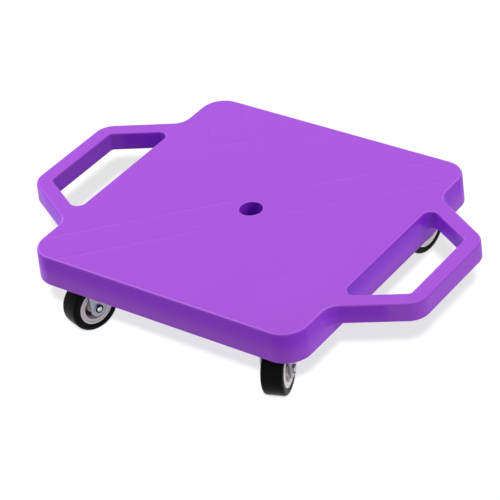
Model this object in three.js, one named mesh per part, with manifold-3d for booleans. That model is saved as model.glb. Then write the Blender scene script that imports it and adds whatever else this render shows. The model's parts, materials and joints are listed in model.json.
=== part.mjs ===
// Scooter board: a moulded plastic deck with two loop handles, on four swivel casters.
// Lengths are millimetres. The origin is on the floor under the middle of the board, +Z is up,
// +X points to the right handle and -Y to the front edge.

import * as THREE from 'three';
import { mergeVertices } from 'three/addons/utils/BufferGeometryUtils.js';
import Module from 'manifold-3d';

const wasm = await Module();
wasm.setup();

// Deck: a square tray moulded upside down, open underneath
const deckDepth = 300;
const deckWidth = 294;
const deckHeight = 31;
const deckCornerRadius = 24;
const deckTopRound = 3;
const deckRimRound = 1;
const deckWall = 3;
const deckSkin = 3;
const wallDraft = 0.9;

// Hole through the middle of the deck, with its tube
const holeDiameter = 22;
const holeRound = 1.2;
const holeTubeWall = 3;

// Handles: each a level band that leaves the side of the deck at a slant
const overallWidth = 432;
const handleThickness = 19.2;
const handleBand = 15.9;
const gripLength = 90.6;
const armSlopeDegrees = 30;
const slotInnerRadius = 7.8;
const slotOuterRadius = 4;
const gripCornerRadius = 20.5;
const armRootRadius = 17;
const handleWall = 3;
const handleRibRecess = 1.5;
const gripRibCount = 3;

// Ribs under the deck: a pair along each diagonal
const ribThickness = 2.5;
const ribSpacing = 37;
const ribRecess = 2;

// Caster places, from the sides of the deck to the kingpin, and how deep the pads are sunk
const kingpinInsetX = 45.85;
const kingpinInsetY = 42.6;
const padRecess = 6.5;

// Mounting plate and its screws
const plateLength = 58;
const plateWidth = 44;
const plateCornerRadius = 5;
const plateSheet = 2;
const screwSpacingLong = 44;
const screwSpacingWide = 30;
const screwSlotTravel = 2.4;
const dishRadius = 14.5;
const dishSlant = 2;
const dishLap = 1.5;
const dishDepth = 1.2;
const screwDiameter = 4.2;
const screwLength = 14;
const screwPointLength = 3;
const screwHeadDiameter = 8.4;
const screwHeadHeight = 2.2;
const screwCrownShare = 0.7;
const bossWall = 2.4;
const bossSpareDepth = 1.5;

// Swivel: two races of balls on a riveted kingpin
const upperBallDiameter = 3.5;
const upperBallPitchRadius = 12.4;
const upperBallCount = 6;
const lowerBallDiameter = 3;
const lowerBallPitchRadius = 7.8;
const lowerBallCount = 6;
const ballSeat = 0.4;
const raceGap = 0.3;
const kingpinDiameter = 8;
const kingpinHeadDiameter = 13;
const kingpinFootDiameter = 11;
const kingpinHeadHeight = 1;
const cupRadius = 11.2;
const cupSheet = 1.2;
const cupLipHeight = 1.9;

// Fork: a bent sheet under a round crown with a turned-up edge
const forkSheet = 1.8;
const forkSideClearance = 1.7;
const forkBendRadius = 2.4;
const crownRadius = 18.5;
const crownEdgeHeight = 2.8;
const legFrontReach = 11;
const legBackReach = 18;
const legFrontShoulder = 4;
const legBackShoulder = 10;
const legEndRadius = 8.3;
const casterTrail = 14.46;
const treadClearance = 1.5;

// Wheel: a rubber tyre on a plastic hub
const wheelDiameter = 50;
const wheelWidth = 20.6;
const tyreShoulder = 3;
const hubDiameter = 35.6;
const hubInset = 0.3;
const hubRingWidth = 5.3;
const hubWebThickness = 7;
const hubBossDiameter = 15;
const hubBossStand = 0.6;
const hubDraft = 0.5;

// Axle: a rivet through both legs, and the sleeve between them
const axleDiameter = 6;
const rivetHeadDiameter = 9;
const rivetHeadHeight = 1.7;
const rivetCrownShare = 0.45;
const sleeveWall = 1.1;

// Fits: the space left round a piece in its seat, and how far a cutter runs past a face
const seatGap = 0.3;
const overrun = 1;

// How finely round stretches are faceted
const cornerSteps = 5;
const armSteps = 3;
const slotSteps = 4;
const plateCornerSteps = 2;
const bendSteps = 3;
const roundSteps = 3;
const rimSteps = 1;
const shoulderSteps = 2;
const wheelSides = 20;
const crownSides = 16;
const pressedSides = 12;
const rodSides = 8;
const screwSides = 8;

// Caster headings as they stand in the photo: degrees from +X to the seen end of the axle
const casters = [
  { name: 'front_left', sideX: -1, sideY: -1, heading: -17 },
  { name: 'front_right', sideX: 1, sideY: -1, heading: 19.4 },
  { name: 'back_left', sideX: -1, sideY: 1, heading: 199 },
  { name: 'back_right', sideX: 1, sideY: 1, heading: 173.1 },
];

// Colours and finishes
const purplePlastic = { color: 0xac60dc, roughness: 0.42, metalness: 0 };
const zincPlate = { color: 0xb4b6bf, roughness: 0.32, metalness: 1 };
const brightSteel = { color: 0xc9cbd2, roughness: 0.22, metalness: 1 };
const greyPlastic = { color: 0xcfc9c5, roughness: 0.5, metalness: 0 };
const blackRubber = { color: 0x1c1c1e, roughness: 0.6, metalness: 0 };

// Heights above the floor, built up from the wheel
const axleHeight = wheelDiameter / 2;
const cupBottom = wheelDiameter + treadClearance;
const cupTop = cupBottom + cupSheet;
const lowerBallTop = cupTop - ballSeat + lowerBallDiameter;
const crownBottom = lowerBallTop + raceGap;
const crownTop = crownBottom + forkSheet;
const dishBottom = crownTop + raceGap + upperBallDiameter - ballSeat;
const dishTop = dishBottom + plateSheet;
const plateTop = dishTop + dishDepth;
const plateBottom = plateTop - plateSheet;
const rimHeight = plateTop - padRecess;
const deckTop = rimHeight + deckHeight;
const skinBottom = deckTop - deckSkin;
const handleBottom = deckTop - handleThickness;
const ribBottom = rimHeight + ribRecess;

// Places in plan
const halfWidth = deckWidth / 2;
const halfDepth = deckDepth / 2;
const kingpinX = halfWidth - kingpinInsetX;
const kingpinY = halfDepth - kingpinInsetY;
const kingpinDistance = Math.hypot(kingpinX, kingpinY);
const diagonalAngle = Math.atan2(kingpinY, kingpinX);
const armSlope = THREE.MathUtils.degToRad(armSlopeDegrees);
const slotOuterX = overallWidth / 2 - handleBand;
const forkInnerHalf = wheelWidth / 2 + forkSideClearance;
const forkOuterHalf = forkInnerHalf + forkSheet;

// Closed mesh to solid, and back
function toSolid(geometry) {
  const bare = geometry.clone();
  bare.deleteAttribute('normal');
  bare.deleteAttribute('uv');
  const merged = mergeVertices(bare);
  const vertProperties = new Float32Array(merged.attributes.position.array);
  const triVerts = new Uint32Array(merged.index.array);
  return new wasm.Manifold(new wasm.Mesh({ numProp: 3, vertProperties, triVerts }));
}

function toGeometry(solid) {
  const mesh = solid.getMesh();
  const geometry = new THREE.BufferGeometry();
  geometry.setAttribute('position', new THREE.BufferAttribute(mesh.vertProperties, 3));
  geometry.setIndex(new THREE.BufferAttribute(mesh.triVerts, 1));
  geometry.computeVertexNormals();
  return geometry;
}

// A corner of an outline: its place, the radius that rounds it and the steps of its arc
function corner(x, y, radius, steps = cornerSteps) {
  return { x, y, radius, steps };
}

// Outline with its corners rounded, after every side has moved inwards by inset.
// Outlines run anticlockwise, so a corner that turns left is convex and loses radius.
function roundedOutline(corners, inset = 0) {
  return corners.flatMap((here, place) => {
    const before = corners.at(place - 1);
    const after = corners[(place + 1) % corners.length];
    const inward = new THREE.Vector2(here.x - before.x, here.y - before.y).normalize();
    const outward = new THREE.Vector2(after.x - here.x, after.y - here.y).normalize();
    const turn = Math.atan2(inward.cross(outward), inward.dot(outward));
    const side = Math.sign(turn);
    const radius = here.radius - side * inset;
    const normal = new THREE.Vector2(-inward.y, inward.x);
    const otherNormal = new THREE.Vector2(-outward.y, outward.x);
    const shift = normal.clone().add(otherNormal).multiplyScalar(inset / (1 + normal.dot(otherNormal)));
    const tangent = radius * Math.tan(Math.abs(turn) / 2);
    const start = new THREE.Vector2(here.x, here.y).add(shift).addScaledVector(inward, -tangent);
    const centre = start.clone().addScaledVector(normal, side * radius);
    const spoke = start.clone().sub(centre);
    return Array.from({ length: here.steps + 1 }, (_, step) => (
      spoke.clone().rotateAround(new THREE.Vector2(), (turn * step) / here.steps).add(centre)
    ));
  });
}

// Closed solid between level rings that have the same number of points
function loft(rings) {
  const sides = rings[0].points.length;
  const positions = rings.flatMap(({ points, z }) => points.flatMap((point) => [point.x, point.y, z]));
  const faces = [];
  for (let ring = 0; ring + 1 < rings.length; ring += 1) {
    for (let side = 0; side < sides; side += 1) {
      const a = ring * sides + side;
      const b = ring * sides + ((side + 1) % sides);
      faces.push(a, b, b + sides, a, b + sides, a + sides);
    }
  }
  const last = (rings.length - 1) * sides;
  for (const [a, b, c] of THREE.ShapeUtils.triangulateShape(rings[0].points, [])) {
    faces.push(c, b, a);
  }
  for (const [a, b, c] of THREE.ShapeUtils.triangulateShape(rings.at(-1).points, [])) {
    faces.push(last + a, last + b, last + c);
  }
  const geometry = new THREE.BufferGeometry();
  geometry.setAttribute('position', new THREE.Float32BufferAttribute(positions, 3));
  geometry.setIndex(faces);
  return toSolid(geometry);
}

// How far the outer walls stand out at a height: the moulding widens from the top to the rim
function draftAt(z) {
  return (wallDraft * (deckTop - z)) / deckHeight;
}

// Block of an outline with drafted walls, whose lower and upper edges are rounded
function roundedBlock(corners, bottom, top, bottomRound, topRound) {
  const rings = [];
  for (let step = 0; bottomRound > 0 && step < rimSteps; step += 1) {
    const angle = (step / rimSteps) * (Math.PI / 2);
    rings.push({ inset: bottomRound * (1 - Math.sin(angle)), z: bottom + bottomRound * (1 - Math.cos(angle)) });
  }
  rings.push({ inset: 0, z: bottom + bottomRound });
  for (let step = 0; step <= (topRound > 0 ? roundSteps : 0); step += 1) {
    const angle = (step / roundSteps) * (Math.PI / 2);
    rings.push({ inset: topRound * (1 - Math.cos(angle)), z: top - topRound * (1 - Math.sin(angle)) });
  }
  return loft(rings.map(({ inset, z }) => ({ points: roundedOutline(corners, inset - draftAt(z)), z })));
}

// Block that runs parallel to the drafted walls, at a distance inside them
function draftedBlock(corners, bottom, top, inset) {
  return loft([bottom, top].map((z) => ({ points: roundedOutline(corners, inset - draftAt(z)), z })));
}

// Cutter for an opening whose mouth is rounded at the top and at the bottom
function flaredCutter(corners, bottom, top, bottomRound, topRound) {
  const rings = [{ inset: -bottomRound, z: bottom - overrun }];
  for (let step = 0; step <= rimSteps; step += 1) {
    const angle = (step / rimSteps) * (Math.PI / 2);
    rings.push({ inset: -bottomRound * (1 - Math.sin(angle)), z: bottom + bottomRound * (1 - Math.cos(angle)) });
  }
  for (let step = 0; step <= roundSteps; step += 1) {
    const angle = (step / roundSteps) * (Math.PI / 2);
    rings.push({ inset: -topRound * (1 - Math.cos(angle)), z: top - topRound * (1 - Math.sin(angle)) });
  }
  rings.push({ inset: -topRound, z: top + overrun });
  return loft(rings.map(({ inset, z }) => ({ points: roundedOutline(corners, inset), z })));
}

// Plain upright block of an outline
function block(corners, bottom, top, inset = 0) {
  const points = roundedOutline(corners, inset);
  return loft([{ points, z: bottom }, { points, z: top }]);
}

// Solid turned about +Z. The profile is a closed loop of [radius, height], anticlockwise,
// and a flat of the faceted wall faces each of the X and Y directions.
function turned(profile, sides) {
  const points = [...profile, profile[0]].map(([radius, height]) => new THREE.Vector2(radius, height));
  const geometry = new THREE.LatheGeometry(points, sides, Math.PI / sides);
  geometry.rotateX(Math.PI / 2);
  return toSolid(geometry);
}

// Solid cylinder about +Z
function rod(radius, bottom, top, sides) {
  return turned([[0, bottom], [radius, bottom], [radius, top], [0, top]], sides);
}

// Straight bar in plan from one point to another, between two heights
function bar(from, to, thickness, bottom, top) {
  const length = from.distanceTo(to);
  const geometry = new THREE.BoxGeometry(length, thickness, top - bottom);
  geometry.rotateZ(Math.atan2(to.y - from.y, to.x - from.x));
  const middle = from.clone().add(to).multiplyScalar(1 / 2);
  geometry.translate(middle.x, middle.y, (bottom + top) / 2);
  return toSolid(geometry);
}

// Turns a solid made about +Z so that its axis is +X, at the height and place of the axle
function onAxle(solid) {
  return solid.rotate([0, 90, 0]).translate([0, -casterTrail, axleHeight]);
}

// Balls standing in a ring, half sunk in nothing but their seat
function ballRing(diameter, pitchRadius, count, height) {
  return Array.from({ length: count }, (_, place) => {
    const angle = (place / count) * Math.PI * 2;
    const ball = new THREE.IcosahedronGeometry(diameter / 2, 0);
    ball.translate(pitchRadius * Math.cos(angle), pitchRadius * Math.sin(angle), height);
    return toSolid(ball);
  });
}

function joined(first, ...others) {
  return others.reduce((sum, other) => sum.add(other), first);
}

// Plan of the square body
function bodyCorners() {
  return [
    corner(halfWidth, -halfDepth, deckCornerRadius),
    corner(halfWidth, halfDepth, deckCornerRadius),
    corner(-halfWidth, halfDepth, deckCornerRadius),
    corner(-halfWidth, -halfDepth, deckCornerRadius),
  ];
}

// Plan of the body with both handles: the outside of each handle runs level with its slot
function deckCorners() {
  const gripX = overallWidth / 2;
  const gripY = gripLength / 2 + handleBand * Math.tan(armSlope);
  const rootY = gripY + (gripX - halfWidth) * Math.tan(armSlope);
  const rightHalf = [
    corner(halfWidth, -halfDepth, deckCornerRadius),
    corner(halfWidth, -rootY, armRootRadius, armSteps),
    corner(gripX, -gripY, gripCornerRadius, armSteps),
    corner(gripX, gripY, gripCornerRadius, armSteps),
    corner(halfWidth, rootY, armRootRadius, armSteps),
    corner(halfWidth, halfDepth, deckCornerRadius),
  ];
  const leftHalf = rightHalf.map((here) => ({ ...here, x: -here.x, y: -here.y }));
  return [...rightHalf, ...leftHalf];
}

// Plan of one hand slot, level with the side of the body
function slotCorners(side) {
  const outerY = gripLength / 2;
  const innerY = outerY + (slotOuterX - halfWidth) * Math.tan(armSlope);
  return [
    corner(side * halfWidth, -side * innerY, slotInnerRadius, slotSteps),
    corner(side * slotOuterX, -side * outerY, slotOuterRadius, armSteps),
    corner(side * slotOuterX, side * outerY, slotOuterRadius, armSteps),
    corner(side * halfWidth, side * innerY, slotInnerRadius, slotSteps),
  ];
}

// Hollow under both handles: what is left between the outer wall, the slot wall and the body
function handleHollow() {
  const bottom = handleBottom - overrun;
  const cutBottom = bottom - overrun;
  const cutTop = skinBottom + overrun;
  const body = [
    corner(halfWidth, -deckDepth, deckWall, 1),
    corner(halfWidth, deckDepth, deckWall, 1),
    corner(-halfWidth, deckDepth, deckWall, 1),
    corner(-halfWidth, -deckDepth, deckWall, 1),
  ];
  return draftedBlock(deckCorners(), bottom, skinBottom, handleWall)
    .subtract(block(body, cutBottom, cutTop))
    .subtract(block(slotCorners(1), cutBottom, cutTop, -handleWall))
    .subtract(block(slotCorners(-1), cutBottom, cutTop, -handleWall));
}

// Short ribs across the hollow of each handle: a few in the grip and one in each arm
function handleRibs(side) {
  const bottom = handleBottom + handleRibRecess;
  const innerX = side * (slotOuterX + handleWall / 2);
  const outerX = side * (overallWidth / 2 - handleWall / 2);
  const grip = Array.from({ length: gripRibCount }, (_, place) => {
    const y = gripLength * ((place + 1) / (gripRibCount + 1) - 1 / 2);
    return bar(new THREE.Vector2(innerX, y), new THREE.Vector2(outerX, y), ribThickness, bottom, skinBottom);
  });
  const arms = [-1, 1].map((end) => {
    const across = new THREE.Vector2(side * Math.sin(armSlope), end * Math.cos(armSlope));
    const slotMiddle = new THREE.Vector2(
      side * (halfWidth + slotOuterX) / 2,
      end * (gripLength / 2 + ((slotOuterX - halfWidth) / 2) * Math.tan(armSlope)),
    );
    const from = slotMiddle.clone().addScaledVector(across, handleWall / 2);
    const to = slotMiddle.clone().addScaledVector(across, handleBand - handleWall / 2);
    return bar(from, to, ribThickness, bottom, skinBottom);
  });
  return [...grip, ...arms];
}

// Point given along and across the diagonal that runs to one corner
function onDiagonal(caster, along, across) {
  const direction = new THREE.Vector2(
    caster.sideX * Math.cos(diagonalAngle),
    caster.sideY * Math.sin(diagonalAngle),
  );
  const sideways = new THREE.Vector2(-direction.y, direction.x);
  return direction.multiplyScalar(along).addScaledVector(sideways, across);
}

function screwPlaces() {
  return [-1, 1].flatMap((long) => [-1, 1].map((wide) => ({
    along: (long * screwSpacingLong) / 2,
    across: (wide * screwSpacingWide) / 2,
  })));
}

// Ribs and bosses of one corner: the plate rests on the deeper part of them
function cornerRibs(caster) {
  const padStart = kingpinDistance - plateLength / 2 - seatGap;
  const padEnd = kingpinDistance + plateLength / 2;
  const cornerReach = Math.hypot(halfWidth, halfDepth);
  const half = ribSpacing / 2;
  const crossHalf = plateWidth / 2 + ribThickness;
  const top = skinBottom + deckSkin / 2;
  const alongRibs = [-half, half].flatMap((across) => [
    bar(onDiagonal(caster, 0, across), onDiagonal(caster, padStart, across), ribThickness, ribBottom, top),
    bar(onDiagonal(caster, padStart, across), onDiagonal(caster, cornerReach, across), ribThickness, plateTop, top),
  ]);
  const crossAlong = padStart - ribThickness / 2;
  const cross = bar(
    onDiagonal(caster, crossAlong, -crossHalf),
    onDiagonal(caster, crossAlong, crossHalf),
    ribThickness,
    ribBottom,
    top,
  );
  const endAlong = padEnd - ribThickness;
  const end = bar(
    onDiagonal(caster, endAlong, -crossHalf),
    onDiagonal(caster, endAlong, crossHalf),
    ribThickness,
    plateTop,
    top,
  );
  const bossRadius = screwDiameter / 2 + seatGap + bossWall;
  const bosses = screwPlaces().map(({ along, across }) => {
    const place = onDiagonal(caster, kingpinDistance + along, across);
    return rod(bossRadius, plateTop, top, rodSides).translate([place.x, place.y, 0]);
  });
  return [...alongRibs, cross, end, ...bosses];
}

// Blind holes for the screws of one corner
function pilotHoles(caster) {
  const radius = screwDiameter / 2 + seatGap;
  const top = plateBottom + screwLength + bossSpareDepth;
  return screwPlaces().map(({ along, across }) => {
    const place = onDiagonal(caster, kingpinDistance + along, across);
    return rod(radius, plateTop - overrun, top, screwSides).translate([place.x, place.y, 0]);
  });
}

// Cutter for the hole in the middle, rounded at the top
function centreHole() {
  const radius = holeDiameter / 2;
  const mouth = Array.from({ length: roundSteps + 1 }, (_, step) => {
    const angle = (step / roundSteps) * (Math.PI / 2);
    return [radius + holeRound * (1 - Math.cos(angle)), deckTop - holeRound * (1 - Math.sin(angle))];
  });
  const profile = [
    [0, rimHeight],
    [radius, rimHeight],
    ...mouth,
    [radius + holeRound, deckTop + overrun],
    [0, deckTop + overrun],
  ];
  return turned(profile, wheelSides);
}

// The deck in one moulding: skin, walls, handles, ribs, pads and tube
function makeDeck() {
  const level = roundedBlock(deckCorners(), handleBottom, deckTop, deckRimRound, deckTopRound);
  const slots = [1, -1].map((side) => (
    flaredCutter(slotCorners(side), handleBottom, deckTop, deckRimRound, deckTopRound)
  ));
  const body = roundedBlock(bodyCorners(), rimHeight, deckTop - deckTopRound, deckRimRound, 0);
  const hollow = draftedBlock(bodyCorners(), rimHeight - overrun, skinBottom, deckWall);
  const shell = level.subtract(slots[0]).subtract(slots[1]).add(body).subtract(hollow).subtract(handleHollow());
  const ribs = joined(...casters.flatMap(cornerRibs))
    .intersect(draftedBlock(bodyCorners(), rimHeight, skinBottom + deckSkin / 2, deckWall / 2));
  const tubeRadius = holeDiameter / 2 + holeTubeWall;
  const tube = rod(tubeRadius, ribBottom, skinBottom + deckSkin / 2, wheelSides);
  const whole = joined(shell, ribs, tube, ...handleRibs(1), ...handleRibs(-1));
  return casters.flatMap(pilotHoles).reduce((sum, hole) => sum.subtract(hole), whole.subtract(centreHole()));
}

// Pressed plate: flat flange, four slotted holes, and a dish that holds the upper balls
function makeMountingPlate() {
  const flange = [
    corner(plateLength / 2, -plateWidth / 2, plateCornerRadius, plateCornerSteps),
    corner(plateLength / 2, plateWidth / 2, plateCornerRadius, plateCornerSteps),
    corner(-plateLength / 2, plateWidth / 2, plateCornerRadius, plateCornerSteps),
    corner(-plateLength / 2, -plateWidth / 2, plateCornerRadius, plateCornerSteps),
  ];
  const dishEdge = dishRadius + dishSlant;
  const lap = dishEdge + dishLap;
  const bore = kingpinDiameter / 2 + seatGap;
  const dish = turned([
    [bore, dishBottom],
    [dishRadius, dishBottom],
    [dishEdge, plateBottom],
    [lap, plateBottom],
    [lap, plateTop],
    [dishEdge, plateTop],
    [dishRadius, dishTop],
    [bore, dishTop],
  ], pressedSides);
  const sheet = block(flange, plateBottom, plateTop)
    .subtract(rod(dishEdge + dishLap / 2, plateBottom - overrun, plateTop + overrun, pressedSides));
  const holeRadius = screwDiameter / 2 + seatGap;
  const slot = screwPlaces().map(({ along, across }) => {
    const half = holeRadius + screwSlotTravel / 2;
    const outline = [
      corner(along + half, across - holeRadius, holeRadius, plateCornerSteps),
      corner(along + half, across + holeRadius, holeRadius, plateCornerSteps),
      corner(along - half, across + holeRadius, holeRadius, plateCornerSteps),
      corner(along - half, across - holeRadius, holeRadius, plateCornerSteps),
    ];
    return block(outline, plateBottom - overrun, plateTop + overrun);
  });
  const ballHeight = dishBottom + ballSeat - upperBallDiameter / 2;
  const balls = ballRing(upperBallDiameter, upperBallPitchRadius, upperBallCount, ballHeight);
  return slot.reduce((sum, hole) => sum.subtract(hole), joined(sheet, dish, ...balls));
}

// Rivet that holds the swivel together, headed over at both ends
function makeKingpin() {
  const radius = kingpinDiameter / 2;
  return turned([
    [0, cupBottom - kingpinHeadHeight],
    [kingpinFootDiameter / 2, cupBottom - kingpinHeadHeight],
    [kingpinFootDiameter / 2, cupBottom],
    [radius, cupBottom],
    [radius, dishTop],
    [kingpinHeadDiameter / 2, dishTop],
    [kingpinHeadDiameter / 2, dishTop + kingpinHeadHeight / 2],
    [radius, dishTop + kingpinHeadHeight],
    [0, dishTop + kingpinHeadHeight],
  ], rodSides);
}

// Pressed cup under the crown, with the lower balls in it
function makeRaceCup() {
  const bore = kingpinDiameter / 2 + seatGap;
  const cup = turned([
    [bore, cupBottom],
    [cupRadius - cupSheet, cupBottom],
    [cupRadius, cupTop],
    [cupRadius, cupTop + cupLipHeight],
    [cupRadius - cupSheet, cupTop + cupLipHeight],
    [cupRadius - cupSheet, cupTop],
    [bore, cupTop],
  ], pressedSides);
  const ballHeight = cupTop - ballSeat + lowerBallDiameter / 2;
  return joined(cup, ...ballRing(lowerBallDiameter, lowerBallPitchRadius, lowerBallCount, ballHeight));
}

// Side view of the fork, Y to the right and Z up: a straight back edge, a slanting front edge
// that touches the round end, and shoulders in to the crown
function forkSideView() {
  const axle = new THREE.Vector2(-casterTrail, axleHeight);
  const front = new THREE.Vector2(legFrontReach, crownBottom - legFrontShoulder);
  const toFront = front.clone().sub(axle);
  const touch = Math.atan2(toFront.y, toFront.x) - Math.acos(legEndRadius / toFront.length());
  const shape = new THREE.Shape();
  shape.moveTo(legFrontReach, crownTop);
  shape.lineTo(-legBackReach, crownTop);
  shape.lineTo(-casterTrail - legEndRadius, crownBottom - legBackShoulder);
  shape.absarc(axle.x, axle.y, legEndRadius, Math.PI, touch + Math.PI * 2, false);
  shape.lineTo(front.x, front.y);
  return shape;
}

// Fork: sheet bent into an arch, cut to its side view, with the round crown on top
function makeFork() {
  const outerBend = forkBendRadius + forkSheet;
  const foot = axleHeight - legEndRadius - overrun;
  const arch = [
    corner(-forkOuterHalf, foot, 0, 1),
    corner(-forkInnerHalf, foot, 0, 1),
    corner(-forkInnerHalf, crownBottom, forkBendRadius, bendSteps),
    corner(forkInnerHalf, crownBottom, forkBendRadius, bendSteps),
    corner(forkInnerHalf, foot, 0, 1),
    corner(forkOuterHalf, foot, 0, 1),
    corner(forkOuterHalf, crownTop, outerBend, bendSteps),
    corner(-forkOuterHalf, crownTop, outerBend, bendSteps),
  ];
  const reach = casterTrail + legEndRadius + overrun;
  const sheet = new THREE.ExtrudeGeometry(
    new THREE.Shape(roundedOutline(arch)),
    { depth: 2 * reach, bevelEnabled: false },
  );
  sheet.rotateX(Math.PI / 2);
  sheet.translate(0, reach, 0);
  const width = 2 * (forkOuterHalf + overrun);
  const side = new THREE.ExtrudeGeometry(forkSideView(), { depth: width, bevelEnabled: false, curveSegments: cornerSteps });
  side.applyMatrix4(new THREE.Matrix4().makeBasis(
    new THREE.Vector3(0, 1, 0),
    new THREE.Vector3(0, 0, 1),
    new THREE.Vector3(1, 0, 0),
  ));
  side.translate(-width / 2, 0, 0);
  const crown = turned([
    [0, crownBottom],
    [crownRadius - forkSheet, crownBottom],
    [crownRadius, crownTop],
    [crownRadius, crownTop + crownEdgeHeight],
    [crownRadius - forkSheet, crownTop + crownEdgeHeight],
    [crownRadius - forkSheet, crownTop],
    [0, crownTop],
  ], crownSides);
  const kingpinHole = rod(kingpinDiameter / 2 + 2 * seatGap, crownBottom - overrun, crownTop + overrun, rodSides);
  const axleHole = onAxle(rod(axleDiameter / 2 + seatGap, -forkOuterHalf - overrun, forkOuterHalf + overrun, rodSides));
  return toSolid(sheet).intersect(toSolid(side)).add(crown).subtract(kingpinHole).subtract(axleHole);
}

// Rivet through both legs, headed over into a low crown on each side
function makeAxleRivet() {
  const radius = axleDiameter / 2;
  const headRadius = rivetHeadDiameter / 2;
  const seat = forkOuterHalf + seatGap;
  const head = [
    [headRadius, seat],
    [headRadius, seat + rivetHeadHeight * rivetCrownShare],
    [headRadius * (1 - rivetCrownShare), seat + rivetHeadHeight],
  ];
  return onAxle(turned([
    [0, -seat - rivetHeadHeight],
    ...head.toReversed().map(([across, along]) => [across, -along]),
    [radius, -seat],
    [radius, seat],
    ...head,
    [0, seat + rivetHeadHeight],
  ], rodSides));
}

// Sleeve between the legs, which the hub turns on
function makeAxleSleeve() {
  const bore = axleDiameter / 2 + seatGap;
  const half = forkInnerHalf - seatGap;
  return onAxle(turned([
    [bore, -half],
    [bore + sleeveWall, -half],
    [bore + sleeveWall, half],
    [bore, half],
  ], rodSides));
}

// Hub: outer ring, deep recess on both sides, and a boss that keeps it clear of the legs
function makeWheelHub() {
  const bore = axleDiameter / 2 + seatGap + sleeveWall + seatGap;
  const ringRadius = hubDiameter / 2;
  const ringHalf = wheelWidth / 2 - hubInset;
  const recessRadius = ringRadius - hubRingWidth;
  const webHalf = hubWebThickness / 2;
  const bossRadius = hubBossDiameter / 2;
  const bossHalf = wheelWidth / 2 + hubBossStand;
  return onAxle(turned([
    [bore, -bossHalf],
    [bossRadius - hubDraft, -bossHalf],
    [bossRadius, -webHalf],
    [recessRadius - hubDraft, -webHalf],
    [recessRadius, -ringHalf],
    [ringRadius, -ringHalf],
    [ringRadius, ringHalf],
    [recessRadius, ringHalf],
    [recessRadius - hubDraft, webHalf],
    [bossRadius, webHalf],
    [bossRadius - hubDraft, bossHalf],
    [bore, bossHalf],
  ], wheelSides));
}

// Tyre: flat tread and round shoulders. It stands on a flat, so its corners lie a little further out.
function makeTyre() {
  const half = wheelWidth / 2;
  const bore = hubDiameter / 2 + seatGap;
  const stretch = 1 / Math.cos(Math.PI / wheelSides);
  const shoulder = Array.from({ length: shoulderSteps + 1 }, (_, step) => {
    const angle = (step / shoulderSteps) * (Math.PI / 2);
    const radius = wheelDiameter / 2 - tyreShoulder * (1 - Math.sin(angle));
    return [radius * stretch, half - tyreShoulder * (1 - Math.cos(angle))];
  });
  return onAxle(turned([
    [bore, -half],
    ...shoulder.map(([radius, height]) => [radius, -height]),
    ...shoulder.toReversed(),
    [bore, half],
  ], wheelSides));
}

// Pan head screw, point upwards, made about its own axis with the head under the plate
function makePlateScrew() {
  const radius = screwDiameter / 2;
  const headRadius = screwHeadDiameter / 2;
  return turned([
    [0, plateBottom - screwHeadHeight],
    [headRadius * screwCrownShare, plateBottom - screwHeadHeight],
    [headRadius, plateBottom],
    [radius, plateBottom],
    [radius, plateBottom + screwLength - screwPointLength],
    [0, plateBottom + screwLength],
  ], screwSides);
}

function named(name, solid, finish) {
  const mesh = new THREE.Mesh(toGeometry(solid), new THREE.MeshStandardMaterial(finish));
  mesh.name = name;
  return mesh;
}

// What is screwed to the deck at one corner, turned along the diagonal
function fixedPieces(caster) {
  const group = new THREE.Group();
  const place = onDiagonal(caster, kingpinDistance, 0);
  group.position.set(place.x, place.y, 0);
  group.rotation.z = Math.atan2(place.y, place.x);
  group.add(
    named(`${caster.name}_mounting_plate`, makeMountingPlate(), zincPlate),
    named(`${caster.name}_kingpin`, makeKingpin(), brightSteel),
    named(`${caster.name}_race_cup`, makeRaceCup(), zincPlate),
  );
  screwPlaces().forEach(({ along, across }, order) => {
    const screw = named(`${caster.name}_plate_screw_${order + 1}`, makePlateScrew(), zincPlate);
    screw.position.set(along, across, 0);
    group.add(screw);
  });
  return group;
}

// What swivels at one corner, turned to its heading
function swivelPieces(caster) {
  const group = new THREE.Group();
  const place = onDiagonal(caster, kingpinDistance, 0);
  group.position.set(place.x, place.y, 0);
  group.rotation.z = THREE.MathUtils.degToRad(caster.heading);
  group.add(
    named(`${caster.name}_fork`, makeFork(), zincPlate),
    named(`${caster.name}_axle_rivet`, makeAxleRivet(), brightSteel),
    named(`${caster.name}_axle_sleeve`, makeAxleSleeve(), brightSteel),
    named(`${caster.name}_wheel_hub`, makeWheelHub(), greyPlastic),
    named(`${caster.name}_tyre`, makeTyre(), blackRubber),
  );
  return group;
}

const board = new THREE.Group();
board.add(named('deck', makeDeck(), purplePlastic));
for (const caster of casters) {
  board.add(fixedPieces(caster), swivelPieces(caster));
}

export default board;
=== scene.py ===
# %% [markdown]
# # A scooter board
#
# The object is a square board of moulded plastic that a child sits or lies on. It has a loop
# handle on each side, a rope hole in the middle and a swivel caster under each corner.
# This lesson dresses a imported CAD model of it: the CAD model says where everything is and how it
# moves, and every piece made here takes its place from it. Each step first says what the real
# piece is, then how it could be made in Blender, and then makes it.

# %% Load the frame
import json
import math

import bmesh
import bpy
from mathutils import Matrix, Vector


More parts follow.
